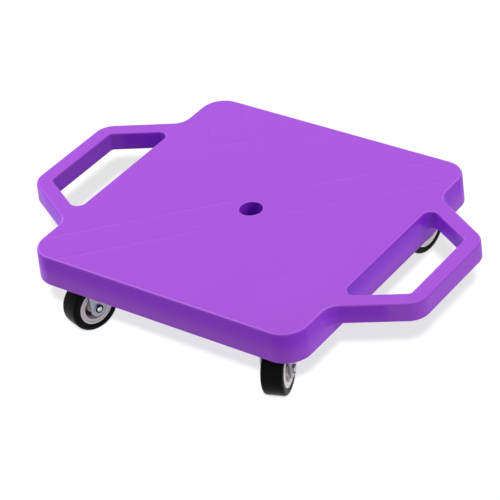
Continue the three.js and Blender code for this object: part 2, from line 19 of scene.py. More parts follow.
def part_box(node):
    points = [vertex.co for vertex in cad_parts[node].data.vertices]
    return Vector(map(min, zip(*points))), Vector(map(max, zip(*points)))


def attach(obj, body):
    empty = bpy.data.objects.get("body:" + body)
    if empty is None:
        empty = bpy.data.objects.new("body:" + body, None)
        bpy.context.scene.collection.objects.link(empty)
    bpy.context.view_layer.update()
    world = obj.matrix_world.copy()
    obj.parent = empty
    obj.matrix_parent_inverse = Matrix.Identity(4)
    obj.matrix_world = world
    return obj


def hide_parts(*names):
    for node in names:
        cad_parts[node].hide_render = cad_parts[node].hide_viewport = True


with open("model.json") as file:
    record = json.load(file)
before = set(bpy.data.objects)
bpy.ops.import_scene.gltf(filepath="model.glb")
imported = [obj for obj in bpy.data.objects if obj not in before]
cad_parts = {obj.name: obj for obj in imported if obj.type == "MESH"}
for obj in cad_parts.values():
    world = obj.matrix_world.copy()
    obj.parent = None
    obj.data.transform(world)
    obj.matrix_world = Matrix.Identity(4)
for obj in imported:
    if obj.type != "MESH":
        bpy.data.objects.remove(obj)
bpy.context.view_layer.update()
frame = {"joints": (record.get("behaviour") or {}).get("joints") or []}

# %% [markdown]
# ## Sizes
#
# The frame is in metres, so sizes that are known in millimetres are written with one factor.
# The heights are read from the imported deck. The rest are the moulding's own sizes: one wall
# thickness, a small draft so that it leaves the mould, and rounded corners.

# %% Sizes of the moulding
MM = 0.001
CASTERS = ("front_left", "front_right", "back_left", "back_right")

deck_low, deck_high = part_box("deck")
RIM_Z = deck_low.z
TOP_Z = deck_high.z
DECK_HEIGHT = TOP_Z - RIM_Z
WALL_DRAFT = 0.9 * MM
DECK_HALF_WIDTH = 147 * MM
DECK_HALF_DEPTH = 150 * MM
DECK_CORNER_RADIUS = 24 * MM
TOP_ROUND = 3 * MM
MOUTH_ROUND = 2.5 * MM
RIM_ROUND = 1 * MM
WALL = 3 * MM
SKIN_Z = TOP_Z - WALL

HANDLE_THICKNESS = 19.2 * MM
HANDLE_BOTTOM_Z = TOP_Z - HANDLE_THICKNESS
HANDLE_BAND = 15.9 * MM
HANDLE_REACH = 216 * MM
GRIP_LENGTH = 90.6 * MM
ARM_SLOPE = math.radians(30)
SLOT_INNER_RADIUS = 7.8 * MM
SLOT_OUTER_RADIUS = 4 * MM
SLOT_REACH = HANDLE_REACH - HANDLE_BAND
GRIP_CORNER_RADIUS = 20.5 * MM
ARM_ROOT_RADIUS = 17 * MM

HOLE_RADIUS = 11 * MM
HOLE_MOUTH_ROUND = 1.6 * MM
HOLE_TUBE_WALL = 3 * MM

RIB = 2.5 * MM
RIB_RECESS = 2 * MM
RIB_SPACING = 37 * MM
OVERRUN = 1 * MM
print("Deck height", round(DECK_HEIGHT / MM, 1), "mm, overall width", round(deck_high.x * 2 / MM, 1), "mm")

# %% [markdown]
# ## Where the casters stand
#
# A caster turns about its kingpin, and its wheel turns about its axle. Both places and both
# directions are in the frame's joints, so nothing is measured by eye. A caster is modelled once
# about its own kingpin, with the wheel trailing towards -Y, and is then turned to each heading.

# %% Caster places from the joints
joints = {joint["name"]: joint for joint in frame["joints"]}


def caster_matrix(caster):
    """Turn and place of a caster that was modelled about its kingpin at the origin."""
    kingpin = Vector(joints[f"{caster}_swivel"]["pos_m"])
    axle = Vector(joints[f"{caster}_wheel_spin"]["axis"])
    turn = Matrix.Rotation(math.atan2(axle.y, axle.x), 4, "Z")
    return Matrix.Translation((kingpin.x, kingpin.y, 0)) @ turn


first_kingpin = Vector(joints["front_right_swivel"]["pos_m"])
first_axle = Vector(joints["front_right_wheel_spin"]["pos_m"])
KINGPIN_X = first_kingpin.x
KINGPIN_Y = -first_kingpin.y
KINGPIN_REACH = math.hypot(KINGPIN_X, KINGPIN_Y)
DIAGONAL = math.atan2(KINGPIN_Y, KINGPIN_X)
CASTER_TRAIL = (first_axle - first_kingpin).to_2d().length
AXLE_Z = first_axle.z
print("Kingpins at", round(KINGPIN_X / MM, 2), round(KINGPIN_Y / MM, 2), "trail", round(CASTER_TRAIL / MM, 2))

# %% [markdown]
# ## Colour and node helpers
#
# Colours are picked as sRGB hex values, the way a colour chart gives them, and Blender wants
# linear light, so one function converts them by the sRGB formula. A second function adds a node
# with its settings and its links, which keeps the node trees below short enough to read.


# %% Colour and node helpers
def colour(hex_value):
    """Linear RGBA of an sRGB colour such as "ac60dc"."""
    parts = [int(hex_value[place : place + 2], 16) / 255 for place in (0, 2, 4)]
    linear = [part / 12.92 if part <= 0.04045 else ((part + 0.055) / 1.055) ** 2.4 for part in parts]
    return (*linear, 1.0)


def add_node(tree, kind, settings=None, links=None):
    """Adds a node. A setting is a socket's name or number, or else a property of the node."""
    node = tree.nodes.new(kind)
    for name, value in (settings or {}).items():
        if isinstance(name, int) or name in node.inputs:
            node.inputs[name].default_value = value
        else:
            setattr(node, name, value)
    for name, source in (links or {}).items():
        tree.links.new(source, node.inputs[name])
    return node


def new_material(name):
    """Material with an empty node tree, and that tree."""
    material = bpy.data.materials.new(name)
    material.use_nodes = True
    material.node_tree.nodes.clear()
    return material, material.node_tree


print("The middle grey 808080 is", round(colour("808080")[0], 3), "in linear light")

# %% [markdown]
# ## Moulded polyethylene
#
# The board is injection moulded from polyethylene, coloured through. Its surface is satin: a fine
# spark-eroded grain in the mould breaks up reflections. The grain is about 0.1 mm on the real
# board, too fine for a pixel of about 0.9 mm, so it is drawn as ripples 1.5 mm wide and about
# a hundredth of a millimetre high. A slow noise makes the colour and the sheen a little uneven.

# %% Mottle and grain of the plastic
PURPLE_DARK = "a04ad8"
PURPLE_LIGHT = "a550dc"
PLASTIC_IOR = 1.51
PLASTIC_SHINE = 0.16
SATIN_ROUGHNESS = (0.38, 0.46)
MOTTLE_SIZE = 60 * MM
GRAIN_SIZE = 1.5 * MM
GRAIN_DEPTH = 0.02 * MM
GRAIN_STRENGTH = 0.5
# Most of a noise's values lie in this range
NOISE_RANGE = {"From Min": 0.3, "From Max": 0.7}

polyethylene, tree = new_material("satin_moulded_polyethylene")
coordinates = add_node(tree, "ShaderNodeTexCoord").outputs
mottle = add_node(
    tree,
    "ShaderNodeTexNoise",
    {"Scale": 1 / MOTTLE_SIZE, "Detail": 3.0, "Roughness": 0.55},
    {"Vector": coordinates["Object"]},
).outputs["Fac"]
grain = add_node(
    tree,
    "ShaderNodeTexNoise",
    {"Scale": 1 / GRAIN_SIZE, "Detail": 2.0},
    {"Vector": coordinates["Object"]},
).outputs["Fac"]
satin = add_node(
    tree,
    "ShaderNodeMapRange",
    {**NOISE_RANGE, "To Min": SATIN_ROUGHNESS[0], "To Max": SATIN_ROUGHNESS[1]},
    {"Value": mottle},
).outputs["Result"]
print("Mottle of", round(MOTTLE_SIZE / MM), "mm and grain of", round(GRAIN_SIZE / MM, 1), "mm")

# %% [markdown]
# Over the ribs the thick plastic shrinks as it cools and leaves faint sink marks in the top. They
# follow the ribs, so their place is worked out from the ribs' own spacing: the board is folded onto
# one quarter, where a pair of ribs runs along the diagonal. The polish, the painted highlight and
# the painted shade follow the shape in the same way.
# So a few helpers first turn the place and the slant of the surface into masks from 0 to 1.

# %% Place on the board, folded onto one quarter
place = add_node(tree, "ShaderNodeSeparateXYZ", links={"Vector": coordinates["Object"]}).outputs
slant = add_node(tree, "ShaderNodeSeparateXYZ", links={"Vector": coordinates["Normal"]}).outputs
facing_up = slant["Z"]
fold_x, fold_y = [
    add_node(tree, "ShaderNodeMath", {"operation": "ABSOLUTE"}, {0: place[axis]}).outputs[0]
    for axis in ("X", "Y")
]


def turned_sum(share_x, share_y):
    """share_x times the folded X plus share_y times the folded Y, as a socket."""
    first = add_node(tree, "ShaderNodeMath", {"operation": "MULTIPLY", 1: share_x}, {0: fold_x})
    return add_node(
        tree,
        "ShaderNodeMath",
        {"operation": "MULTIPLY_ADD", 1: share_y},
        {0: fold_y, 2: first.outputs[0]},
    ).outputs[0]


def soft_band(value, centre, reach):
    """1 where a value is at the centre, falling to 0 at the reach on both sides."""
    shift = add_node(tree, "ShaderNodeMath", {"operation": "SUBTRACT", 1: centre}, {0: value})
    size = add_node(tree, "ShaderNodeMath", {"operation": "ABSOLUTE"}, {0: shift.outputs[0]})
    return add_node(
        tree,
        "ShaderNodeMapRange",
        {
            "interpolation_type": "SMOOTHSTEP",
            "From Min": 0.0,
            "From Max": reach,
            "To Min": 1.0,
            "To Max": 0.0,
        },
        {"Value": size.outputs[0]},
    ).outputs["Result"]


def where_all_meet(first, *others):
    """Several masks multiplied into one."""
    for other in others:
        links = {0: first, 1: other}
        first = add_node(tree, "ShaderNodeMath", {"operation": "MULTIPLY"}, links).outputs[0]
    return first


print("The folded board is", round(HANDLE_REACH / MM), "by", round(DECK_HALF_DEPTH / MM), "mm")

# %% Masks that rise over a stretch
# Each row has what is measured, where the mask starts, where it reaches 1, and its least value
mask_rows = {
    "uneven": (mottle, 0.35, 0.6, 0.3),
    "on_top": (facing_up, 0.9, 0.99, 0.0),
    # on_walls, off_grip and under_edge place the painted shade, and on_body weighs the painted highlight
    "on_walls": (facing_up, 0.6, 0.1, 0.0),
    "on_body": (fold_x, DECK_HALF_WIDTH + 14 * MM, DECK_HALF_WIDTH, 0.5),
    "off_grip": (fold_x, SLOT_REACH - 2 * MM, SLOT_REACH - 16 * MM, 0.0),
    "under_edge": (place["Z"], TOP_Z - 26 * MM, TOP_Z - 8 * MM, 0.0),
}
masks = {}
for name, (value, start, end, least) in mask_rows.items():
    masks[name] = add_node(
        tree,
        "ShaderNodeMapRange",
        {"interpolation_type": "SMOOTHSTEP", "From Min": start, "From Max": end, "To Min": least},
        {"Value": value},
    ).outputs["Result"]
print("Masks:", ", ".join(masks))

# %% [markdown]
# A sink mark runs over each rib of the pair, and a short one over the rib that closes each pad.
# Real ones are mostly shallower than 0.1 mm. They are drawn 0.4 mm deep so that they show, and the mottle
# makes them stronger in some places than in others, as they are on a real moulding.

# %% Sink marks over the ribs
SINK_HALF_WIDTH = 4 * MM
SINK_DEPTH = 0.4 * MM
PAD_START = KINGPIN_REACH - 30.5 * MM
CROSS_MARK_HALF = 0.7 * RIB_SPACING

across = add_node(
    tree,
    "ShaderNodeMath",
    {"operation": "ABSOLUTE"},
    {0: turned_sum(math.sin(DIAGONAL), -math.cos(DIAGONAL))},
).outputs[0]
along = turned_sum(math.cos(DIAGONAL), math.sin(DIAGONAL))
near_diagonal = add_node(
    tree,
    "ShaderNodeMath",
    {"operation": "LESS_THAN", 1: CROSS_MARK_HALF},
    {0: across},
).outputs[0]
long_mark = soft_band(across, RIB_SPACING / 2, SINK_HALF_WIDTH)
cross_mark = where_all_meet(soft_band(along, PAD_START, SINK_HALF_WIDTH), near_diagonal)
either = add_node(tree, "ShaderNodeMath", {"operation": "MAXIMUM"}, {0: long_mark, 1: cross_mark}).outputs[0]

sink_bump = add_node(
    tree,
    "ShaderNodeBump",
    {"Strength": 1.0, "Distance": SINK_DEPTH, "invert": True},
    {"Height": where_all_meet(either, masks["uneven"], masks["on_top"])},
).outputs["Normal"]
relief = add_node(
    tree,
    "ShaderNodeBump",
    {"Strength": GRAIN_STRENGTH, "Distance": GRAIN_DEPTH},
    {"Height": grain, "Normal": sink_bump},
).outputs["Normal"]
print("The marks run", round(RIB_SPACING / 2 / MM, 1), "mm to each side of the diagonals")

# %% [markdown]
# Use shows on such a board: the edges of the body are burnished, so they are glossier. The colour
# has painted light and shade too. The rounded edges get a painted highlight in a paler purple, and
# the walls get painted shade, a deeper purple in a band just under the edge, so that the top, the
# grips and the lower part of the walls stay paler. The edge is found by its slant: the upward part
# of the surface's normal is 1 on the level top and 0 on an upright wall.

# %% Polish, painted highlight and painted shade of the plastic, and its shader
# Deeper purple of the painted shade on the walls
PAINTED_SHADE_PURPLE = "9430dc"
# Paler purple of the painted highlight on the edges
PAINTED_HIGHLIGHT_PURPLE = "c470ff"
EDGE_SLANT = 0.82
EDGE_SLANT_REACH = 0.15
EDGE_POLISH = -0.12

# Painted shade: the walls of the body are darker in a band just under the top edge
painted_wall_shade = where_all_meet(masks["on_walls"], masks["off_grip"], masks["under_edge"])
# Painted highlight on the rounded edges, mostly on the body; the same mask also lowers their roughness
edges = where_all_meet(soft_band(facing_up, EDGE_SLANT, EDGE_SLANT_REACH), masks["on_body"])
shade = add_node(
    tree,
    "ShaderNodeMix",
    {"data_type": "RGBA", 6: colour(PURPLE_DARK), 7: colour(PURPLE_LIGHT)},
    {0: mottle},
)
for mask, painted_to in ((painted_wall_shade, PAINTED_SHADE_PURPLE), (edges, PAINTED_HIGHLIGHT_PURPLE)):
    settings = {"data_type": "RGBA", 7: colour(painted_to)}
    shade = add_node(tree, "ShaderNodeMix", settings, {0: mask, 6: shade.outputs[2]})
polished = add_node(
    tree,
    "ShaderNodeMath",
    {"operation": "MULTIPLY_ADD", 1: EDGE_POLISH},
    {0: edges, 2: satin},
)
shader = add_node(
    tree,
    "ShaderNodeBsdfPrincipled",
    {"IOR": PLASTIC_IOR, "Specular IOR Level": PLASTIC_SHINE},
    {"Base Color": shade.outputs[2], "Roughness": polished.outputs[0], "Normal": relief},
)
add_node(tree, "ShaderNodeOutputMaterial", links={"Surface": shader.outputs["BSDF"]})
print("Made", polyethylene.name)

# %% [markdown]
# ## Metals, hub plastic, painted recess shade and rubber
#
# The other finishes share one pattern: a slow noise for blotches in colour and sheen, and a fine
# one for the texture of the surface, drawn at about a pixel so that it shows. Zinc plate on pressed
# steel is bluish with soft blotches. Riveted steel is brighter and smoother, the balls are
# polished, and the washers on the rivets are blackened spring steel. The hub is nylon with a pale
# filler, a warm light grey. A dark brown matt material paints the shade in the hub's recess. The
# tread is black rubber, with the dull sheen that it takes from the mould. A metal keeps the default IOR.


# %% Helper for a blotched finish
def blotched_material(name, colours, metallic, roughness, blotch_size, grain_size, grain_depth, shine=0.5):
    """Material with two close colours and two close roughnesses blended by a slow noise."""
    material, nodes = new_material(name)
    where = add_node(nodes, "ShaderNodeTexCoord").outputs["Object"]
    blotches = add_node(
        nodes,
        "ShaderNodeTexNoise",
        {"Scale": 1 / blotch_size, "Detail": 4.0, "Roughness": 0.6},
        {"Vector": where},
    ).outputs["Fac"]
    texture = add_node(
        nodes,
        "ShaderNodeTexNoise",
        {"Scale": 1 / grain_size, "Detail": 2.0},
        {"Vector": where},
    ).outputs["Fac"]
    tone = add_node(
        nodes,
        "ShaderNodeMix",
        {"data_type": "RGBA", 6: colour(colours[0]), 7: colour(colours[1])},
        {0: blotches},
    ).outputs[2]
    sheen = add_node(
        nodes,
        "ShaderNodeMapRange",
        {**NOISE_RANGE, "To Min": roughness[0], "To Max": roughness[1]},
        {"Value": blotches},
    ).outputs["Result"]
    bumps = add_node(
        nodes,
        "ShaderNodeBump",
        {"Strength": 0.6, "Distance": grain_depth},
        {"Height": texture},
    ).outputs["Normal"]
    surface = add_node(
        nodes,
        "ShaderNodeBsdfPrincipled",
        {"Metallic": metallic, "Specular IOR Level": shine},
        {"Base Color": tone, "Roughness": sheen, "Normal": bumps},
    )
    add_node(nodes, "ShaderNodeOutputMaterial", links={"Surface": surface.outputs["BSDF"]})
    print("Made", name)
    return material


# %% Metals
zinc_plate = blotched_material(
    "zinc_plated_pressed_steel",
    ("888994", "a2a3ae"),
    metallic=1.0,
    roughness=(0.26, 0.38),
    blotch_size=5 * MM,
    grain_size=0.8 * MM,
    grain_depth=0.01 * MM,
)
riveted_steel = blotched_material(
    "bright_riveted_steel",
    ("cfd1d8", "e2e4ea"),
    metallic=1.0,
    roughness=(0.16, 0.24),
    blotch_size=3 * MM,
    grain_size=0.6 * MM,
    grain_depth=0.005 * MM,
)
ball_steel = blotched_material(
    "polished_bearing_steel",
    ("c4c6cc", "d4d6dc"),
    metallic=1.0,
    roughness=(0.08, 0.14),
    blotch_size=3 * MM,
    grain_size=0.8 * MM,
    grain_depth=0.002 * MM,
)
blackened_steel = blotched_material(
    "blackened_spring_steel",
    ("15161a", "22242a"),
    metallic=1.0,
    roughness=(0.35, 0.5),
    blotch_size=3 * MM,
    grain_size=0.6 * MM,
    grain_depth=0.01 * MM,
)

# %% Hub plastic, painted recess shade and rubber
hub_nylon = blotched_material(
    "grey_filled_nylon",
    ("f0eae4", "f8f3ee"),
    metallic=0.0,
    roughness=(0.42, 0.55),
    blotch_size=6 * MM,
    grain_size=0.9 * MM,
    grain_depth=0.02 * MM,
)
# Dark brown and matt: it paints the shade in the hub's recess
brown_felt = blotched_material(
    "brown_felt",
    ("2a1f1a", "43342b"),
    metallic=0.0,
    roughness=(0.8, 0.95),
    blotch_size=2 * MM,
    grain_size=0.7 * MM,
    grain_depth=0.05 * MM,
    shine=0.2,
)
tread_rubber = blotched_material(
    "black_tread_rubber",
    ("070708", "0b0b0d"),
    metallic=0.0,
    roughness=(0.28, 0.4),
    blotch_size=9 * MM,
    grain_size=1.0 * MM,
    grain_depth=0.02 * MM,
    shine=0.055,
)

# %% [markdown]
# ## Mesh helpers
#
# Moulded walls are level outlines stacked on each other, so a loft between outlines makes them.
# Pins, cups, hubs and tyres are turned parts: a profile goes round an axis. Both helpers give a
# closed mesh. An outline lists only its corners, each with the radius that rounds it.

# %% Outlines and lofts
CORNER_STEPS = 16


def rounded_outline(corners, inset=0.0):
    """Points of an anticlockwise outline of (x, y, radius) corners whose sides moved inwards."""
    points = []
    for place, (x, y, radius) in enumerate(corners):
        here = Vector((x, y))
        before = Vector(corners[place - 1][:2])
        after = Vector(corners[(place + 1) % len(corners)][:2])
        arriving = (here - before).normalized()
        leaving = (after - here).normalized()
        turn = math.atan2(arriving.cross(leaving), arriving.dot(leaving))
        side = math.copysign(1, turn)
        normal = Vector((-arriving.y, arriving.x))
        next_normal = Vector((-leaving.y, leaving.x))
        moved = here + (normal + next_normal) * (inset / (1 + normal.dot(next_normal)))
        inner_radius = radius - side * inset
        start = moved - arriving * (inner_radius * math.tan(abs(turn) / 2))
        centre = start + normal * (side * inner_radius)
        spoke = start - centre
        for step in range(CORNER_STEPS + 1):
            points.append(centre + Matrix.Rotation(turn * step / CORNER_STEPS, 2) @ spoke)
    return points


def level_ring(corners, inset, height):
    """An outline's points at a height."""
    return [Vector((point.x, point.y, height)) for point in rounded_outline(corners, inset)]


def lofted_mesh(name, rings):
    """Closed mesh through rings of points, from the lowest to the highest."""
    count = len(rings[0])
    vertices = [point for ring in rings for point in ring]
    faces = [tuple(reversed(range(count)))]
    for ring in range(len(rings) - 1):
        for side in range(count):
            here = ring * count + side
            beside = ring * count + (side + 1) % count
            faces.append((here, beside, beside + count, here + count))
    faces.append(tuple(range((len(rings) - 1) * count, len(rings) * count)))
    mesh = bpy.data.meshes.new(name)
    mesh.from_pydata(vertices, [], faces)
    return mesh


print("Each rounded corner has", CORNER_STEPS + 1, "points")

# %% Turned parts
ROUND_STEPS = 6
TURN_SIDES = 96


def as_mesh(name, form):
    """Mesh of a bmesh form, which is used up."""
    mesh = bpy.data.meshes.new(name)
    form.to_mesh(mesh)
    form.free()
    return mesh


def turned_mesh(name, profile, sides=TURN_SIDES):
    """Closed mesh of a closed profile of (radius, height) points, anticlockwise, about +Z."""
    form = bmesh.new()
    rings = []
    for radius, height in profile:
        if radius == 0:
            rings.append([form.verts.new((0, 0, height))])
            continue
        angles = [2 * math.pi * side / sides for side in range(sides)]
        rings.append([form.verts.new((radius * math.cos(a), radius * math.sin(a), height)) for a in angles])
    for ring, following in zip(rings, rings[1:] + rings[:1]):
        if len(ring) == 1 and len(following) == 1:
            continue
        for side in range(sides):
            beside = (side + 1) % sides
            corners = [ring[side % len(ring)], ring[beside % len(ring)]]
            corners += [following[beside % len(following)], following[side % len(following)]]
            form.faces.new(list(dict.fromkeys(corners)))
    return as_mesh(name, form)


def arc(centre_radius, centre_height, radius, start, end, steps=ROUND_STEPS):
    """Points of a profile's round corner, from one angle to another in degrees."""
    angles = [math.radians(start + (end - start) * step / steps) for step in range(steps + 1)]
    return [(centre_radius + radius * math.cos(a), centre_height + radius * math.sin(a)) for a in angles]


def rod_profile(radius, low, high):
    """Profile of a plain rod or hole between two heights."""
    return [(0, low), (radius, low), (radius, high), (0, high)]


print("A turned part has", TURN_SIDES, "sides unless it asks for another number")

# %% Pieces and their modifiers
SHARP_ANGLE = math.radians(35)


def new_piece(name, mesh, material):
    """Object at the origin that shows a mesh in one material."""
    piece = bpy.data.objects.new(name, mesh)
    bpy.context.scene.collection.objects.link(piece)
    mesh.materials.clear()
    mesh.materials.append(material)
    return piece


def turned_piece(name, profile, material, sides=TURN_SIDES):
    """Piece turned about +Z."""
    return new_piece(name, turned_mesh(name, profile, sides), material)


def bake(piece):
    """Replaces a piece's mesh by what its modifiers make of it, and removes them."""
    depsgraph = bpy.context.evaluated_depsgraph_get()
    mesh = bpy.data.meshes.new_from_object(piece.evaluated_get(depsgraph), depsgraph=depsgraph)
    piece.modifiers.clear()
    piece.data = mesh


def combine(piece, tool, operation, crossing=False):
    """Joins, cuts or trims a piece, whose own parts may cross, with a tool, which is used up."""
    modifier = piece.modifiers.new("combine", "BOOLEAN")
    modifier.operation = operation
    modifier.solver = "EXACT"
    modifier.use_self = crossing
    modifier.object = tool
    bake(piece)
    bpy.data.objects.remove(tool)


def smooth(piece):
    """Smooth shading that stays sharp past an angle and keeps large flat faces flat."""
    piece.data.shade_smooth()
    piece.data.set_sharp_from_angle(angle=SHARP_ANGLE)
    modifier = piece.modifiers.new("flat faces lead", "WEIGHTED_NORMAL")
    modifier.keep_sharp = True
    bake(piece)


def finished(piece, body, slot, *nodes):
    """Tells the frame which body carries a piece and hides the nodes that it stands for. The slot is not
    used.
    """
    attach(piece, body)
    if nodes:
        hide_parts(*nodes)
    print(piece.name, "has", len(piece.data.polygons), "faces")


print("Edges stay sharp above", round(math.degrees(SHARP_ANGLE)), "degrees")

# %% [markdown]
# ## The deck moulding
#
# The real deck is one shot of plastic: a thin skin on top, walls all round, and handles that are
# hollow underneath. It could be drawn as a sheet and thickened, but its underside has steps that
# the top doesn't follow. So it is built the way a mould designer does it: a level block for skin
# and handles, a deeper block for the body, then everything hollow cut away.


# %% Outlines of the moulding
def mirrored(corners):
    """The same corners after half a turn about the middle, which keeps them anticlockwise."""
    return [(-x, -y, radius) for x, y, radius in corners]


def body_corners():
    """Plan of the square body."""
    half = [
        (DECK_HALF_WIDTH, -DECK_HALF_DEPTH, DECK_CORNER_RADIUS),
        (DECK_HALF_WIDTH, DECK_HALF_DEPTH, DECK_CORNER_RADIUS),
    ]
    return half + mirrored(half)


def deck_corners():
    """Plan of the body with both handles."""
    grip_y = GRIP_LENGTH / 2 + HANDLE_BAND * math.tan(ARM_SLOPE)
    root_y = grip_y + (HANDLE_REACH - DECK_HALF_WIDTH) * math.tan(ARM_SLOPE)
    half = [
        (DECK_HALF_WIDTH, -DECK_HALF_DEPTH, DECK_CORNER_RADIUS),
        (DECK_HALF_WIDTH, -root_y, ARM_ROOT_RADIUS),
        (HANDLE_REACH, -grip_y, GRIP_CORNER_RADIUS),
        (HANDLE_REACH, grip_y, GRIP_CORNER_RADIUS),
        (DECK_HALF_WIDTH, root_y, ARM_ROOT_RADIUS),
        (DECK_HALF_WIDTH, DECK_HALF_DEPTH, DECK_CORNER_RADIUS),
    ]
    return half + mirrored(half)


def slot_corners():
    """Plan of the right hand slot."""
    inner_y = GRIP_LENGTH / 2 + (SLOT_REACH - DECK_HALF_WIDTH) * math.tan(ARM_SLOPE)
    return [
        (DECK_HALF_WIDTH, -inner_y, SLOT_INNER_RADIUS),
        (SLOT_REACH, -GRIP_LENGTH / 2, SLOT_OUTER_RADIUS),
        (SLOT_REACH, GRIP_LENGTH / 2, SLOT_OUTER_RADIUS),
        (DECK_HALF_WIDTH, inner_y, SLOT_INNER_RADIUS),
    ]


print("Deck outline has", len(rounded_outline(deck_corners())), "points")


# %% Blocks and cutters for the moulding
def draft_at(height):
    """How far the walls stand out at a height: the moulding widens towards the rim."""
    return WALL_DRAFT * (TOP_Z - height) / DECK_HEIGHT


def quarter_turn():
    """Sine and cosine of each step of a quarter turn."""
    angles = [math.pi / 2 * step / ROUND_STEPS for step in range(ROUND_STEPS + 1)]
    return [(math.sin(angle), math.cos(angle)) for angle in angles]


def moulded_block(name, corners, bottom, top, bottom_round, top_round):
    """Block with drafted walls and rounded edges. With no round at the top, its edge is sharp."""
    rings = []
    for sine, cosine in quarter_turn():
        height = bottom + bottom_round * (1 - cosine)
        rings.append(level_ring(corners, bottom_round * (1 - sine) - draft_at(height), height))
    for sine, cosine in quarter_turn() if top_round else [(1, 1)]:
        height = top - top_round * (1 - sine)
        rings.append(level_ring(corners, top_round * (1 - cosine) - draft_at(height), height))
    return new_piece(name, lofted_mesh(name, rings), polyethylene)


def straight_block(name, corners, bottom, top, inset=0.0, drafted=True):
    """Plain block inside an outline, parallel to the drafted walls or upright."""
    rings = []
    for height in (bottom, top):
        draft = draft_at(height) if drafted else 0.0
        rings.append(level_ring(corners, inset - draft, height))
    return new_piece(name, lofted_mesh(name, rings), polyethylene)


def mouth_cutter(name, corners, bottom, top):
    """Cutter for a slot whose mouths are rounded like the outside edges."""
    rings = [level_ring(corners, -RIM_ROUND, bottom - OVERRUN)]
    for sine, cosine in quarter_turn():
        rings.append(level_ring(corners, -RIM_ROUND * (1 - sine), bottom + RIM_ROUND * (1 - cosine)))
    for sine, cosine in quarter_turn():
        rings.append(level_ring(corners, -MOUTH_ROUND * (1 - cosine), top - MOUTH_ROUND * (1 - sine)))
    rings.append(level_ring(corners, -MOUTH_ROUND, top + OVERRUN))
    return new_piece(name, lofted_mesh(name, rings), polyethylene)


print("The walls stand out", round(draft_at(RIM_Z) / MM, 1), "mm at the rim")

# %% [markdown]
# The blocks are combined with exact booleans. The hollow of the handles stops at the wall of each
# slot and at the wall of the body, so what is left is an even wall all round.

# %% The deck moulding
deck = moulded_block("deck_moulding", deck_corners(), HANDLE_BOTTOM_Z, TOP_Z, RIM_ROUND, TOP_ROUND)
both_slots = (slot_corners(), mirrored(slot_corners()))
for slot in both_slots:
    combine(deck, mouth_cutter("slot_cutter", slot, HANDLE_BOTTOM_Z, TOP_Z), "DIFFERENCE")
body_block = moulded_block("body_block", body_corners(), RIM_Z, TOP_Z - TOP_ROUND, RIM_ROUND, 0.0)
combine(deck, body_block, "UNION")
body_hollow = straight_block("body_hollow", body_corners(), RIM_Z - OVERRUN, SKIN_Z, WALL)
combine(deck, body_hollow, "DIFFERENCE")

CUT_BOTTOM_Z = HANDLE_BOTTOM_Z - 2 * OVERRUN
CUT_TOP_Z = SKIN_Z + OVERRUN
handle_hollow = straight_block("handle_hollow", deck_corners(), HANDLE_BOTTOM_Z - OVERRUN, SKIN_Z, WALL)
# What is kept solid: the body, made longer than the deck, and a wall round each slot
long_body = [(x, math.copysign(2 * DECK_HALF_DEPTH, y), WALL) for x, y, radius in body_corners()]
for outline, inset in ((long_body, 0.0), *((slot, -WALL) for slot in both_slots)):
    keeper = straight_block("keeper", outline, CUT_BOTTOM_Z, CUT_TOP_Z, inset, drafted=False)
    combine(handle_hollow, keeper, "DIFFERENCE")
combine(deck, handle_hollow, "DIFFERENCE")
print("The hollow moulding has", len(deck.data.polygons), "faces")

# %% The hole in the middle and its tube
tube = rod_profile(HOLE_RADIUS + HOLE_TUBE_WALL, RIM_Z + RIB_RECESS, SKIN_Z + WALL / 2)
combine(deck, turned_piece("tube_block", tube, polyethylene), "UNION")
mouth_radius = HOLE_RADIUS + HOLE_MOUTH_ROUND
hole_profile = [
    (0, RIM_Z),
    (HOLE_RADIUS, RIM_Z),
    *arc(mouth_radius, TOP_Z - HOLE_MOUTH_ROUND, HOLE_MOUTH_ROUND, 180, 90),
    (mouth_radius, TOP_Z + OVERRUN),
    (0, TOP_Z + OVERRUN),
]
combine(deck, turned_piece("hole_cutter", hole_profile, polyethylene), "DIFFERENCE")
smooth(deck)
finished(deck, "deck", "purple_plastic", "deck")

# %% [markdown]
# ## One tree for everything that repeats under the corners
#
# Ribs, plates, screws, cups and kingpins are the same at each corner and point outwards along the
# diagonal. Geometry Nodes can copy one model of them to the four points of a rectangle and turn
# each copy by the angle of its own place. The tree has its spacings, the turn and the material as
# inputs, and the same tree also places the screws of one plate. It ends in real geometry, because
# instances don't leave Blender.


# %% Start and end of a Geometry Nodes tree
def new_tree(name, inputs):
    """Geometry Nodes tree with a geometry input and the named inputs, and its start sockets."""
    nodes = bpy.data.node_groups.new(name, "GeometryNodeTree")
    nodes.interface.new_socket("Geometry", in_out="INPUT", socket_type="NodeSocketGeometry")
    for label, kind in inputs.items():
        nodes.interface.new_socket(label, in_out="INPUT", socket_type=kind)
    nodes.interface.new_socket("Geometry", in_out="OUTPUT", socket_type="NodeSocketGeometry")
    start = add_node(nodes, "NodeGroupInput").outputs
    return nodes, start


def end_tree(nodes, geometry, material):
    """Makes instances real, sets their material and ends the tree."""
    real = add_node(nodes, "GeometryNodeRealizeInstances", links={"Geometry": geometry})
    painted = add_node(
        nodes,
        "GeometryNodeSetMaterial",
        links={"Geometry": real.outputs["Geometry"], "Material": material},
    )
    add_node(nodes, "NodeGroupOutput", links={0: painted.outputs["Geometry"]})
    print("Made the tree", nodes.name)


def run_tree(piece, nodes, **values):
    """Runs a tree on a piece. Inputs are given by name and set by their identifiers."""
    modifier = piece.modifiers.new(nodes.name, "NODES")
    modifier.node_group = nodes
    for item in nodes.interface.items_tree:
        label = item.name.lower().replace(" ", "_")
        if item.in_out == "INPUT" and label in values:
            modifier[item.identifier] = values[label]
    bake(piece)


